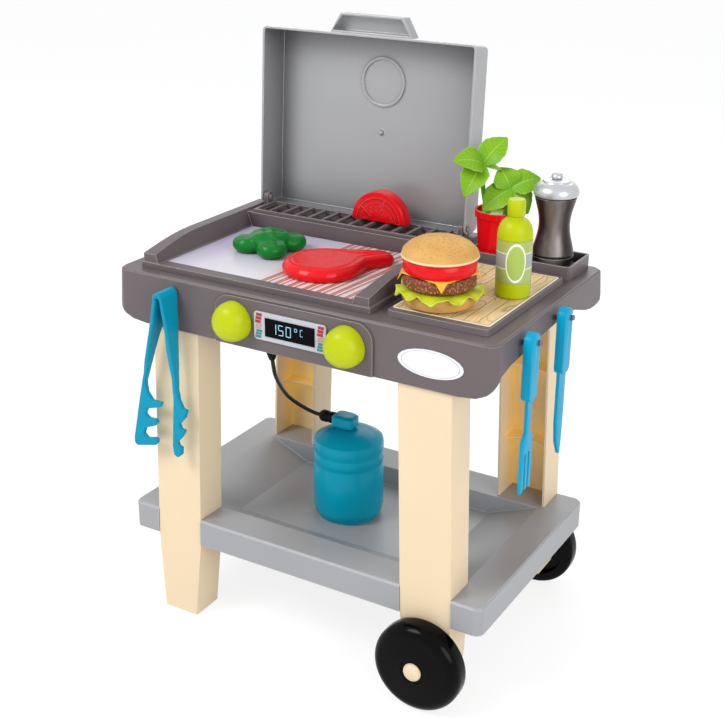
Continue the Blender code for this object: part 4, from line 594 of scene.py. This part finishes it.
# Baked crust: fine dark flecks near the top, and a paler cut edge.
def crust(name, middle, low, high, flecks=True):
    paint = Paint(name)
    place = paint.place(middle=middle)
    x, y, z = paint.axes(place)
    cloud = paint.noise(place, 45.0, 3.0)
    fine = paint.noise(place, 1400.0, 2.0)
    near, normal = paint.edges(0.001)
    rise = z.ramp(low, high)
    body = paint.blend(rise, colours["bun"], times(colours["bun"], 1.06))
    body = paint.blend(cloud.ramp(0.35, 0.75) * 0.35, body, colours["bunDark"])
    if flecks:
        speck = paint.cells(paint.place(middle=middle, scale=(1.7, 0.8, 0.8), turn=(0.0, 0.0, 0.6)), 400.0)
        marks = speck.ramp(0.30, 0.17) * z.ramp(0.004, 0.011)
        body = paint.blend(marks * 0.7, body, tone(140, 92, 42))
        body = paint.blend((1.0 - z.ramp(0.0024, 0.0038)) * 0.8, body, tone(250, 226, 184))
        height = fine * 0.5 - marks
    else:
        height = fine * 0.5
    body = paint.blend(near * 0.5, body, colours["bunPale"])
    return paint.finish(Base_Color=body, Roughness=0.55 + cloud * 0.1,
                        Normal=paint.bump(height, 0.5, 0.0004, normal))


# Tomato half: a rind ring, chambers between spokes, and seeds, on its faces.
tomatoSettings = {"rind": 0.80, "inner": 0.64, "core": 0.30, "seeds": (0.34, 0.62)}  # shares of the radius


def tomatoCut(middle, radius):
    paint = Paint("tomato_cut")
    x, y, z = paint.axes(paint.place(middle=middle))
    r = (x * x + z * z) ** 0.5
    turn = paint.maths("ARCTAN2", z, x)
    ring = (r - radius * tomatoSettings["rind"]).size().ramp(0.0013, 0.0004)
    ring2 = (r - radius * tomatoSettings["inner"]).size().ramp(0.0010, 0.0003)
    core = radius * tomatoSettings["core"]
    first, last = (radius * share for share in tomatoSettings["seeds"])
    soft = radius * 0.04
    spokes = ((turn * 2.5).sine().size()).ramp(0.16, 0.05) * r.ramp(core, core + soft)
    seeds = paint.cells(paint.place(middle=middle, scale=(1.0, 5.0, 1.0)), 190.0).ramp(0.30, 0.18)
    seeds = seeds * r.ramp(first, first + soft * 1.5) * (1.0 - r.ramp(last - soft, last))
    inside = 1.0 - r.ramp(radius * tomatoSettings["rind"], radius * (tomatoSettings["rind"] + 0.03))
    near, normal = paint.edges(0.0012)
    body = paint.blend(inside * 0.35, colours["red"], tone(206, 20, 30))
    lines = ring.largest(ring2).largest(spokes * inside)
    body = paint.blend(lines * 0.4, body, tone(246, 84, 80))
    body = paint.blend(seeds * 0.6, body, tone(244, 84, 74))
    # A painted highlight along the edges.
    body = paint.blend(near * 0.15, body, tone(246, 110, 106))
    height = lines + seeds * 0.6
    return paint.finish(Base_Color=body, Roughness=0.26, Coat_Weight=0.1, Coat_Roughness=0.1,
                        Specular_IOR_Level=0.22, Normal=paint.bump(height, 0.9, 0.0014, normal))


# Sauce label: a pale oval outline on a green and grey band.
labelSettings = {"radius": 0.0195, "facing": 30.0, "ovalWidth": 0.0108, "ovalHeight": 0.0205}


def labelPrint(middle):
    paint = Paint("label_print")
    turn = (0.0, 0.0, math.radians(labelSettings["facing"]))
    x, y, up = paint.axes(paint.place(middle=middle, turn=turn))
    arc = paint.maths("ARCTAN2", x, -y) * labelSettings["radius"]
    oval = ((arc / labelSettings["ovalWidth"]) ** 2.0 + (up / labelSettings["ovalHeight"]) ** 2.0) ** 0.5
    line = (oval - 1.0).size().ramp(0.085, 0.045)
    inside = 1.0 - oval.ramp(0.97, 1.0)
    band = (up - 0.0015).size().ramp(0.0088, 0.0082)
    trim = ((up - 0.0015).size() - 0.0086).size().ramp(0.0007, 0.0003)
    cloud = paint.noise(paint.place(middle=middle), 120.0, 3.0)
    body = paint.blend(cloud, tone(160, 178, 96), tone(172, 190, 104))
    body = paint.blend(band, body, paint.blend(cloud, tone(150, 158, 150), tone(168, 176, 168)))
    body = paint.blend(trim, body, tone(232, 240, 214))
    body = paint.blend(inside, body, tone(164, 192, 84))
    body = paint.blend(line, body, tone(244, 248, 226))
    return paint.finish(Base_Color=body, Roughness=0.35 + cloud * 0.08, Coat_Weight=0.2, Coat_Roughness=0.15)


# Plain oval sticker with one thin border.
badgeSettings = {"width": 0.077, "height": 0.031, "border": 0.88}


def badgePrint(middle):
    paint = Paint("badge_print")
    x, _, z = paint.axes(paint.place(middle=middle))
    oval = ((x / (badgeSettings["width"] / 2)) ** 2.0 + (z / (badgeSettings["height"] / 2)) ** 2.0) ** 0.5
    line = (oval - badgeSettings["border"]).size().ramp(0.022, 0.012)
    cloud = paint.noise(paint.place(), 30.0, 2.0)
    body = paint.blend(cloud, tone(226, 227, 231), tone(233, 233, 236))
    body = paint.blend(line * 0.7, body, tone(176, 178, 186))
    return paint.finish(Base_Color=body, Roughness=0.3 + cloud * 0.05, Coat_Weight=0.3, Coat_Roughness=0.1)


def centreOf(node):
    low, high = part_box(node)
    return (low + high) / 2


# Metal with fine upright streaks, a painted sheen in soft upright bands round the body, painted shade as dark
# lines in the foot's grooves, and painted highlights along the edges.
millSettings = {"grooveShade": (0.105, 0.205), "grooveHalf": 0.0018}  # the grooves as shares of the height


def millMetal(node):
    paint = Paint("mill_metal")
    low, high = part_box(node)
    middle = (low + high) / 2
    place = paint.place(middle=(middle.x, middle.y, low.z))
    x, y, z = paint.axes(place)
    turn = paint.maths("ARCTAN2", x, -y)
    tall = high.z - low.z
    streak = paint.noise(paint.place(scale=(1.0, 1.0, 40.0)), 420.0, 2.0)
    # Painted sheen: two broad upright bands round the body are lightened, standing in for reflections of the
    # lamps.
    sheen = ((turn - 0.35).size().ramp(0.8, 0.0) + ((turn - 2.4).size().ramp(0.6, 0.1)) * 0.6).smallest(1.0)
    lower, upper = ((z - tall * share).size().ramp(millSettings["grooveHalf"], 0.0004)
                    for share in millSettings["grooveShade"])
    grooveShade = lower.largest(upper)
    near, normal = paint.edges(0.0012)
    body = paint.blend(sheen * 0.62 + (streak - 0.5) * 0.25, tone(48, 40, 40), tone(164, 154, 151))
    # A painted highlight on the edges, and painted shade in the foot's grooves.
    body = paint.blend(near * 0.5, body, tone(190, 182, 180))
    body = paint.blend(grooveShade * 0.85, body, tone(26, 21, 22))
    return paint.finish(Base_Color=body, Metallic=0.6, Roughness=0.32 + (streak - 0.5) * 0.15,
                        Normal=paint.bump(streak, 0.2, 0.00008, normal))


# Glossy lime with fine grip ribs round the rim, near the panel; painted shade darkens the gaps between the
# ribs, and painted highlights lighten the edges.
knobSettings = {"ribs": 44.0, "rim": (0.012, 0.0155), "reach": (0.020, 0.010)}


def knobPaint(name, node):
    paint = Paint(name)
    low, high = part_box(node)
    middle = (low + high) / 2
    x, y, z = paint.axes(paint.place(middle=(middle.x, high.y, middle.z)))
    ribs = (paint.maths("ARCTAN2", z, x) * knobSettings["ribs"]).sine() * 0.5 + 0.5
    rim = ((x * x + z * z) ** 0.5).ramp(*knobSettings["rim"]) * (-y).ramp(*knobSettings["reach"])
    cloud = paint.noise(paint.place(), 30.0, 2.0)
    near, normal = paint.edges(0.0012)
    body = paint.blend(cloud, times(colours["lime"], 0.95), times(colours["lime"], 1.05))
    # Painted shade in the gaps between the ribs, then a painted highlight on the edges.
    body = paint.blend(rim * (1.0 - ribs) * 0.3, body, tone(150, 164, 0))
    body = paint.blend(near * 0.25, body, colours["limeLight"])
    return paint.finish(Base_Color=body, Roughness=0.33 + cloud * 0.05, Specular_IOR_Level=0.25,
                        Normal=paint.bump(rim * ribs, 0.7, 0.0008, normal))


bunLow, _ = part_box("bun_top")
topMiddle = centreOf("bun_top")
tomatoLow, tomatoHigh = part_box("tomato_half")
tomatoMiddle = ((tomatoLow.x + tomatoHigh.x) / 2, (tomatoLow.y + tomatoHigh.y) / 2, tomatoLow.z)
special = {
    "wood_panel": woodPrint(),
    "cooking_plate": platePrint(),
    "patty": pattyGrain(tuple(centreOf("patty"))),
    "bun_top": crust("bun_top_crust", (topMiddle.x, topMiddle.y, bunLow.z), 0.0, 0.024),
    "bun_bottom": crust("bun_bottom_crust", tuple(centreOf("bun_bottom")), -0.009, 0.009, flecks=False),
    "tomato_half": tomatoCut(tomatoMiddle, (tomatoHigh.x - tomatoLow.x) / 2),
    "sauce_label": labelPrint(tuple(centreOf("sauce_label"))),
    "front_badge": badgePrint(tuple(centreOf("front_badge"))),
    "display_plate": plastic("display_film", colours["display"], rough=0.35, edgeHighlight=0.2, coat=0.2, drift=0.03),
    "display_screen": plastic("screen_film", tone(8, 9, 12), rough=0.2, edgeHighlight=0.0, drift=0.3,
                              grainDepth=0.00001, shine=0.04),
    "mill_body": millMetal("mill_body"),
    "tongs": plastic("tongs_gloss", tone(0, 144, 176), rough=0.34, edgeHighlight=0.3, drift=0.05, grainDepth=0.00005,
                     edgeTone=tone(60, 180, 206), shine=0.15),
    "wheel_front": plastic("wheel_gloss", tone(3, 3, 4), rough=0.13, edgeHighlight=0.0, drift=0.2, grainDepth=0.00001,
                           shine=0.09),
    # The rack: painted highlights on the bars' edges and painted shade between them.
    "grill_rack": plastic("rack_bars", colours["anthracite"], rough=0.4, edgeHighlight=0.9, rim=0.001,
                          edgeTone=tone(196, 187, 185), shade=tone(36, 31, 33), shadeReach=0.018),
    "lid_handle": plastic("handle_grey", colours["lidGrey"], rough=0.34, edgeHighlight=0.8, edgeTone=colours["lidEdge"],
                          metal=0.3, drift=0.06),
    "lettuce": plastic("lettuce_gloss", colours["lettuce"], rough=0.34, edgeHighlight=0.8, drift=0.10,
                       edgeTone=colours["lettuceLight"], sheenScale=60.0, coat=0.2),
    # The rear legs: painted amber shade in the hollows of their channels, with a painted glow there, standing
    # in for light through the thin cream walls.
    "leg_rear_left": plastic("rear_leg_cream", colours["cream"], rough=0.48, edgeHighlight=0.3, drift=0.03,
                             edgeTone=tone(250, 238, 214), shade=colours["creamShade"], glow=0.2),
    "knob_left": knobPaint("knob_left_lime", "knob_left"),
    "knob_right": knobPaint("knob_right_lime", "knob_right"),
    "axle_front": plastic("hub_cream", colours["cream"], rough=0.4, edgeHighlight=0.3, drift=0.03),
}
special["axle_rear"] = special["axle_front"]
special["leg_rear_right"] = special["leg_rear_left"]


# A row of thin bars as one piece: each is its left, right, low and high edge on a face.
def barsPiece(name, bars, face, thick, material, body):
    bpy.ops.object.select_all(action="DESELECT")
    for count, (left, right, low, high) in enumerate(bars):
        spot = ((left + right) / 2, face - thick / 2, (low + high) / 2)
        if count == 0:
            bpy.ops.mesh.primitive_cube_add(size=1.0, location=(0.0, 0.0, 0.0))
            piece = bpy.context.object
            bpy.ops.object.mode_set(mode="EDIT")
            bpy.ops.transform.resize(value=(right - left, thick, high - low))
            bpy.ops.transform.translate(value=spot)
        else:
            bpy.ops.mesh.select_all(action="DESELECT")
            bpy.ops.mesh.primitive_cube_add(size=1.0, location=spot, scale=(right - left, thick, high - low))
    bpy.ops.object.mode_set(mode="OBJECT")
    return claim(piece, name, body, material, smooth=35.0)


# The strokes of one digit, as bars.
def strokes(parts, left, low, width, height, line):
    middle = low + height / 2
    right, high = left + width, low + height
    made = {
        "a": (left + line * 0.6, right - line * 0.6, high - line, high),
        "g": (left + line * 0.6, right - line * 0.6, middle - line / 2, middle + line / 2),
        "d": (left + line * 0.6, right - line * 0.6, low, low + line),
        "f": (left, left + line, middle + line * 0.2, high - line * 0.3),
        "b": (right - line, right, middle + line * 0.2, high - line * 0.3),
        "e": (left, left + line, low + line * 0.3, middle - line * 0.2),
        "c": (right - line, right, low + line * 0.3, middle - line * 0.2),
    }
    return [made[p] for p in parts]


screenLow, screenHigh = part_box("display_screen")
plateLow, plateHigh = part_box("display_plate")
digitSettings = {
    "height": 0.0122, "width": 0.0066, "line": 0.0009, "rise": 0.0046, "thick": 0.00012, "gap": 0.00002,
    "marks": (  # strokes, shift from the screen's left edge, size, width's share, line's share
        ("bc", 0.0085, 1.0, 1.0, 1.0), ("afgcd", 0.0178, 1.0, 1.0, 1.0), ("abcdef", 0.0277, 1.0, 1.0, 1.0),
        ("abgf", 0.0388, 0.62, 0.62 * 0.85, 0.62), ("afed", 0.0462, 0.66, 0.66 * 0.85, 0.62)),
}
digits = []
for parts, shift, size, share, lineShare in digitSettings["marks"]:
    tall = digitSettings["height"] * size
    base = screenLow.z + digitSettings["rise"] + digitSettings["height"] - tall
    digits += strokes(parts, screenLow.x + shift, base, digitSettings["width"] * share, tall,
                      digitSettings["line"] * lineShare)
digitPaint = Paint("digit_glow")
glimmer = digitPaint.noise(digitPaint.place(), 600.0, 1.0)
# The digits carry a weak painted glow of their own colour.
digitPaint.finish(Base_Color=digitPaint.blend(glimmer, colours["digits"], times(colours["digits"], 1.12)),
                  Roughness=0.4, Emission_Color=colours["digits"], Emission_Strength=0.12)
barsPiece("display_digits", digits, screenLow.y - digitSettings["gap"], digitSettings["thick"],
          digitPaint.material, bodyOf["display_screen"])

# The blocks beside the screen: each mark has its colour and its low and high edge from the plate's foot.
markSettings = {
    "steps": 3, "gap": 0.0006, "lean": 0.0007, "thick": 0.0001,
    "sides": ((plateLow.x + 0.0016, plateLow.x + 0.0092), (plateHigh.x - 0.0112, plateHigh.x - 0.0036)),
    "marks": (("mark_hot", tone(166, 32, 44), 0.0195, 0.0312),
              ("mark_warm", tone(196, 150, 146), 0.0128, 0.0186),
              ("mark_cool", tone(40, 128, 138), 0.0022, 0.0119)),
}
for markName, ink, low, high in markSettings["marks"]:
    tall = (high - low - markSettings["gap"] * (markSettings["steps"] - 1)) / markSettings["steps"]
    bars = []
    for left, right in markSettings["sides"]:
        for i in range(markSettings["steps"]):
            base = plateLow.z + low + i * (tall + markSettings["gap"])
            lean = i * markSettings["lean"]
            bars.append((left + lean, right + lean, base, base + tall))
    barsPiece(markName, bars, plateLow.y - digitSettings["gap"], markSettings["thick"],
              plastic(markName + "_ink", ink, rough=0.35, edgeHighlight=0.0, coat=0.3, grainDepth=0.00001),
              bodyOf["display_plate"])
print("scene: display")

# A wheel: rounded tread, smooth face with a recess round the hub, and a hollow back.
wheelSettings = {"round": 0.013, "bulge": 0.0012, "backRound": 0.005, "recess": 0.0152, "recessDepth": 0.0015,
                 "hub": 0.0116, "bore": 0.0055, "backRim": 0.042, "backSink": 0.008, "backBoss": 0.017}


# Selects the flat cap of a wheel on one side of it, in edit mode.
def capOf(piece, side):
    bpy.ops.mesh.select_all(action="DESELECT")
    bpy.ops.object.mode_set(mode="OBJECT")
    for face in piece.data.polygons:
        face.select = face.normal.z * side > 0.999 and len(face.vertices) > 20
    bpy.ops.object.mode_set(mode="EDIT")


# Steps inward over a cap in rings, each to a radius and by a depth, and opens the middle.
def ringsInto(piece, side, radius, rings):
    capOf(piece, side)
    for to, depth in rings:
        bpy.ops.mesh.inset(thickness=radius - to, depth=depth)
        radius = to
    bpy.ops.mesh.delete(type="FACE")


def wheelPiece(node, turn):
    low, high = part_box(node)
    radius, wide = (high.x - low.x) / 2, high.y - low.y
    sizes = wheelSettings
    bpy.ops.object.select_all(action="DESELECT")
    bpy.ops.mesh.primitive_cylinder_add(vertices=96, radius=radius, depth=wide, location=(low + high) / 2,
                                        rotation=(math.radians(turn), 0.0, 0.0))
    piece = bpy.context.object
    bpy.ops.object.mode_set(mode="EDIT")
    bpy.ops.mesh.select_mode(type="FACE")
    capOf(piece, 1)
    bpy.ops.mesh.bevel(offset=sizes["round"], segments=9, profile=0.5, affect="EDGES")
    capOf(piece, -1)
    bpy.ops.mesh.bevel(offset=sizes["backRound"], segments=5, profile=0.5, affect="EDGES")
    ringsInto(piece, 1, radius - sizes["round"],
              ((sizes["recess"], sizes["bulge"]), (sizes["recess"] - 0.0012, -sizes["recessDepth"]),
               (sizes["hub"] + 0.0006, 0.0), (sizes["hub"], sizes["recessDepth"] - sizes["bulge"]),
               (sizes["bore"], 0.0)))
    ringsInto(piece, -1, radius - sizes["backRound"],
              ((sizes["backRim"], 0.0), (sizes["backRim"] - 0.002, -sizes["backSink"]),
               (sizes["backBoss"] + 0.001, 0.0), (sizes["backBoss"], sizes["backSink"]), (sizes["bore"], 0.0)))
    bpy.ops.mesh.select_mode(type="EDGE")
    bpy.ops.mesh.select_all(action="DESELECT")
    bpy.ops.mesh.select_non_manifold()
    bpy.ops.mesh.bridge_edge_loops()
    bpy.ops.mesh.select_all(action="SELECT")
    bpy.ops.mesh.normals_make_consistent(inside=False)
    bpy.ops.object.mode_set(mode="OBJECT")
    settle(piece)
    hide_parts(node)
    return claim(piece, node + "_look", bodyOf[node], special["wheel_front"], smooth=32.0)


wheelPiece("wheel_front", 90.0)
wheelPiece("wheel_rear", -90.0)

# A short tapered collar where the hose comes out of its socket.
collarSettings = {"wide": 0.0068, "narrow": 0.0035, "height": 0.0098, "round": 0.0007}
bpy.ops.object.select_all(action="DESELECT")
exit_ = Vector(hoseSettings["points"][0])
bpy.ops.mesh.primitive_cone_add(vertices=40, radius1=collarSettings["narrow"], radius2=collarSettings["wide"],
                                depth=collarSettings["height"],
                                location=(exit_.x, exit_.y, exit_.z - collarSettings["height"] / 2))
collar = settle(bpy.context.object)
applied(collar, "BEVEL", width=collarSettings["round"], segments=3, angle_limit=math.radians(40.0))
claim(collar, "hose_collar", "stand", looks["black"], smooth=40.0)

# Soft knuckles over the top of the leafy bunch, as its moulding has them.
vegetableSettings = {"voxel": 0.0012, "relax": 22, "waves": (260.0, 240.0), "height": 0.0009, "flatten": 0.45}
vegetable = copyOf("vegetable", looks["green"], smooth=60.0)
applied(vegetable, "REMESH", mode="VOXEL", voxel_size=vegetableSettings["voxel"])
applied(vegetable, "SMOOTH", factor=0.6, iterations=vegetableSettings["relax"])
vegLow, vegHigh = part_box("vegetable")
alongX, alongY = vegetableSettings["waves"]
for vertex in vegetable.data.vertices:
    x, y, z = vertex.co
    lift = (z - vegLow.z) / (vegHigh.z - vegLow.z)
    wave = math.sin(x * alongX + 1.0) * math.sin(y * alongY) * vegetableSettings["height"] * max(0.0, lift)
    high = max(0.0, lift - 0.5) * (vegHigh.z - vegLow.z)
    vertex.co.z = max(vegLow.z, z - high * vegetableSettings["flatten"] + wave)
bpy.ops.object.shade_smooth()

# The chop's moulded outline: a groove that follows the round body and the handle.
chopSettings = {"centre": (-0.0302, -0.0502), "tip": (0.0178, 0.0101), "radius": 0.0365, "neck": 0.0042,
                "blend": 0.022, "width": 0.0013, "depth": 0.0013, "voxel": 0.001, "relax": 8}
chop = copyOf("chop", looks["red"], smooth=60.0)
applied(chop, "REMESH", mode="VOXEL", voxel_size=chopSettings["voxel"])
applied(chop, "SMOOTH", factor=0.5, iterations=chopSettings["relax"])
chopLow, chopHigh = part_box("chop")
chopCentre, chopTip = Vector(chopSettings["centre"]), Vector(chopSettings["tip"])
chopAxis = chopTip - chopCentre
for vertex in chop.data.vertices:
    spot = Vector(vertex.co.xy)
    along = min(1.0, max(0.0, (spot - chopCentre).dot(chopAxis) / chopAxis.length_squared))
    round_ = (spot - chopCentre).length - chopSettings["radius"]
    neck = (spot - chopCentre - chopAxis * along).length - chopSettings["neck"]
    mix = max(0.0, chopSettings["blend"] - abs(round_ - neck)) / chopSettings["blend"]
    gap = min(round_, neck) - mix * mix * chopSettings["blend"] / 4
    share = max(0.0, (vertex.co.z - chopLow.z) / (chopHigh.z - chopLow.z) - 0.5) * 2.0
    groove = math.exp(-(gap / chopSettings["width"]) ** 2) * min(1.0, share * 1.5)
    vertex.co.z -= chopSettings["depth"] * groove
bpy.ops.object.shade_smooth()

# The tongs' teeth are soft all round, so they are remeshed finely and relaxed.
tongsSettings = {"voxel": 0.0009, "relax": 12}
tongs = copyOf("tongs", special["tongs"], smooth=60.0)
applied(tongs, "REMESH", mode="VOXEL", voxel_size=tongsSettings["voxel"])
applied(tongs, "SMOOTH", factor=0.5, iterations=tongsSettings["relax"])
bpy.ops.object.shade_smooth()

# The lettuce: a disc whose free rim is waved, ruffled and let down.
lettuceSettings = {"radius": 0.0475, "thick": 0.0017, "waves": 11, "lift": 0.0040, "drop": 0.0030,
                   "rings": (0.0013, 0.0016, 0.0020, 0.0026, 0.0040, 0.0080), "free": 0.80}
bpy.ops.object.select_all(action="DESELECT")
bpy.ops.mesh.primitive_circle_add(vertices=176, radius=lettuceSettings["radius"], fill_type="NGON",
                                  location=(0.0, 0.0, 0.0))
lettuce = bpy.context.object
bpy.ops.object.mode_set(mode="EDIT")
bpy.ops.mesh.select_all(action="SELECT")
for inset in lettuceSettings["rings"]:
    bpy.ops.mesh.inset(thickness=inset)
bpy.ops.mesh.delete(type="FACE")
bpy.ops.object.mode_set(mode="OBJECT")
for vertex in lettuce.data.vertices:
    x, y = vertex.co.x, vertex.co.y
    r = math.hypot(x, y) / lettuceSettings["radius"]
    a = math.atan2(y, x)
    free = max(0.0, (r - lettuceSettings["free"]) / (1.0 - lettuceSettings["free"]))
    wave = math.sin(lettuceSettings["waves"] * a + 0.8 * math.sin(3.0 * a))
    ruffle = 0.35 * math.sin(27.0 * a + 1.3) * free
    rise = (wave * lettuceSettings["lift"] + ruffle * 0.0022) * free ** 1.4
    vertex.co.z = rise - lettuceSettings["drop"] * free ** 1.2
    reach = 1.0 + 0.035 * math.sin(5.0 * a + 0.4) * free + 0.018 * math.sin(23.0 * a) * free
    vertex.co.x *= reach
    vertex.co.y *= reach
applied(lettuce, "SOLIDIFY", thickness=lettuceSettings["thick"], offset=0.0)
applied(lettuce, "SUBSURF", levels=1)
lettuce.location = centreOf("lettuce")
settle(lettuce)
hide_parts("lettuce")
claim(lettuce, "lettuce_leaf", bodyOf["lettuce"], special["lettuce"], smooth=70.0)


# Leaf print: a pale midrib with side veins, and a pale rim, on the leaf's own UV map.
def leafPaint():
    paint = Paint("leaf_veins")
    u, v, _ = paint.axes(Wire(paint, paint.node("ShaderNodeUVMap").outputs["UV"]))
    across = (u - 0.5).size() * 2.0
    rib = across.ramp(0.07, 0.02)
    slant = (v * 8.0 - across * 1.7).part()
    vein = (slant - 0.5).size().ramp(0.10, 0.03) * (1.0 - across.ramp(0.75, 0.95))
    rim = across.ramp(0.90, 0.99)
    cloud = paint.noise(paint.place(), 70.0, 3.0)
    body = paint.blend(cloud, tone(108, 164, 20), tone(134, 182, 36))
    body = paint.blend(v.ramp(0.5, 0.0) * 0.3, body, tone(84, 160, 36))
    body = paint.blend(vein * 0.22, body, colours["leafLight"])
    body = paint.blend((rib + rim).smallest(1.0) * 0.42, body, tone(186, 220, 112))
    return paint.finish(Base_Color=body, Roughness=0.34 + cloud * 0.1, Specular_IOR_Level=0.2,
                        Normal=paint.bump(rib + vein * 0.5 + rim * 0.6, 0.5, 0.0005))


leafMaterial = leafPaint()
leafSettings = {
    "length": 0.044, "width": 0.033, "thick": 0.0016, "bow": 0.0065, "fold": 0.11,
    "widths": ((0.0, 0.16), (0.10, 0.50), (0.25, 0.90), (0.40, 1.0), (0.55, 0.96), (0.70, 0.78), (0.85, 0.46),
               (0.95, 0.20), (1.0, 0.04)),
}


# A leaf's width, as a share of its widest, at a share of its length.
def widthAt(share):
    widths = leafSettings["widths"]
    for (a, wa), (b, wb) in zip(widths, widths[1:]):
        if share <= b:
            t = (share - a) / (b - a)
            return wa + (wb - wa) * (t * t * (3.0 - 2.0 * t) if wb < wa else t)
    return widths[-1][1]


# One bowed and folded leaf from its base along its reach, facing a direction.
def leafPiece(base, reach, facing):
    along = reach.normalized()
    across = along.cross(facing).normalized()
    normal = across.cross(along)
    bpy.ops.object.select_all(action="DESELECT")
    bpy.ops.mesh.primitive_grid_add(x_subdivisions=10, y_subdivisions=22, size=1.0)
    piece = bpy.context.object
    for vertex in piece.data.vertices:
        side, share = vertex.co.x * 2.0, vertex.co.y + 0.5
        width = widthAt(share) * leafSettings["width"] / 2
        notch = 1.0 + 0.03 * math.sin(share * 25.0)
        rise = leafSettings["bow"] * math.sin(math.pi * share) - leafSettings["bow"] * 0.5 * share
        lift = abs(side) ** 1.5 * leafSettings["fold"] * leafSettings["width"] * widthAt(share)
        vertex.co = (base + reach * share + across * (side * width * notch) + normal * (rise + lift))
    applied(piece, "SOLIDIFY", thickness=leafSettings["thick"], offset=0.0)
    applied(piece, "SUBSURF", levels=1)
    return piece


potLow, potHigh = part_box("plant_pot")
potMiddle = (potLow + potHigh) / 2
_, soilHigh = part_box("pot_filling")
stemSettings = {"radius": 0.0030, "colour": tone(98, 178, 40)}
sprigSettings = {
    # name: (foot's shift, top from the soil, leaf reaches as shares of the length)
    "sprig_left": (-0.012, (-0.0155, -0.015, 0.061),
                   ((-0.42, -0.90, 0.26), (0.43, 0.56, 0.71), (-0.14, -0.80, -0.72), (0.10, 0.62, -0.10))),
    "sprig_right": (0.008, (0.0165, -0.005, 0.034),
                    ((-0.36, 0.03, 0.56), (0.66, 0.50, 0.31), (-0.55, -0.56, -0.53), (0.55, 0.05, -0.62))),
}
facing = Vector((0.30, -0.72, 0.62))
for sprigName, (shift, top, reaches) in sprigSettings.items():
    root = Vector((potMiddle.x, potMiddle.y, soilHigh.z))
    head = root + Vector(top)
    foot = root + Vector((shift, 0.0, -0.002))
    bend = foot + (head - foot) * 0.45 + Vector((shift / 2, 0.0, 0.0))
    bpy.ops.object.select_all(action="DESELECT")
    bpy.ops.curve.primitive_bezier_curve_add()
    stem = bpy.context.object
    stem.data.dimensions = "3D"
    points = stem.data.splines[0].bezier_points
    for point, spot, pull in ((points[0], foot, bend - foot), (points[1], head, bend - head)):
        point.co = spot
        point.handle_left_type = point.handle_right_type = "FREE"
        point.handle_right = spot + pull * 0.75
        point.handle_left = spot + pull * 0.75
    points[0].handle_left = foot - (bend - foot) * 0.2
    points[1].handle_right = head - (bend - head) * 0.2
    stem.data.bevel_depth = stemSettings["radius"]
    stem.data.bevel_resolution = 4
    stem.data.resolution_u = 16
    stem.data.use_fill_caps = True
    bpy.ops.object.convert(target="MESH")
    stem = bpy.context.object
    stem.location = (0.0, 0.0, 0.0)
    stem.data.materials.clear()
    stem.data.materials.append(plastic(sprigName + "_stem_green", stemSettings["colour"], rough=0.36, edgeHighlight=0.4,
                                       drift=0.1, sheenScale=60.0))
    bpy.ops.object.shade_smooth()
    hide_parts(sprigName)
    claim(stem, sprigName + "_stem", bodyOf[sprigName])
    for count, share in enumerate(reaches):
        reach = Vector(share) * leafSettings["length"]
        leaf = leafPiece(head - reach.normalized() * 0.001, reach, facing)
        claim(leaf, sprigName + "_leaf_" + str(count + 1), bodyOf[sprigName], leafMaterial,
              smooth=60.0)
print("scene: plant and food")

# Nodes with a piece of their own, nodes that keep their CAD mesh, and the edge roundings of the copied rest.
ownPieces = ["gas_hose", "tongs", "wheel_front", "wheel_rear", "vegetable", "chop", "lettuce", "sprig_left",
             "sprig_right"]
plainNodes = ["worktop", "control_panel", "firebox_frame", "grill_rack", "lid_shell", "lid_handle", "shelf",
              "leg_front_left", "leg_front_right", "leg_rear_left", "leg_rear_right", "caddy", "board_base",
              "wood_panel", "cooking_plate", "display_plate", "display_screen", "front_badge", "hose_socket",
              "fork_peg", "knife_peg", "tongs_peg", "lid_pin_left", "lid_pin_right"]
roundings = {"fork": 0.0007, "knife": 0.0007, "bottle_valve": 0.002, "sauce_cap": 0.0008}
for node, piece in frame["nodes"].items():
    if node in ownPieces:
        continue
    material = special.get(node) or looks[slotOf[node]]
    if node in plainNodes:
        piece.data.materials.clear()
        piece.data.materials.append(material)
    else:
        copyOf(node, material, bevel=roundings.get(node, 0.0))
print("scene: carried-over nodes")

low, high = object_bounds()
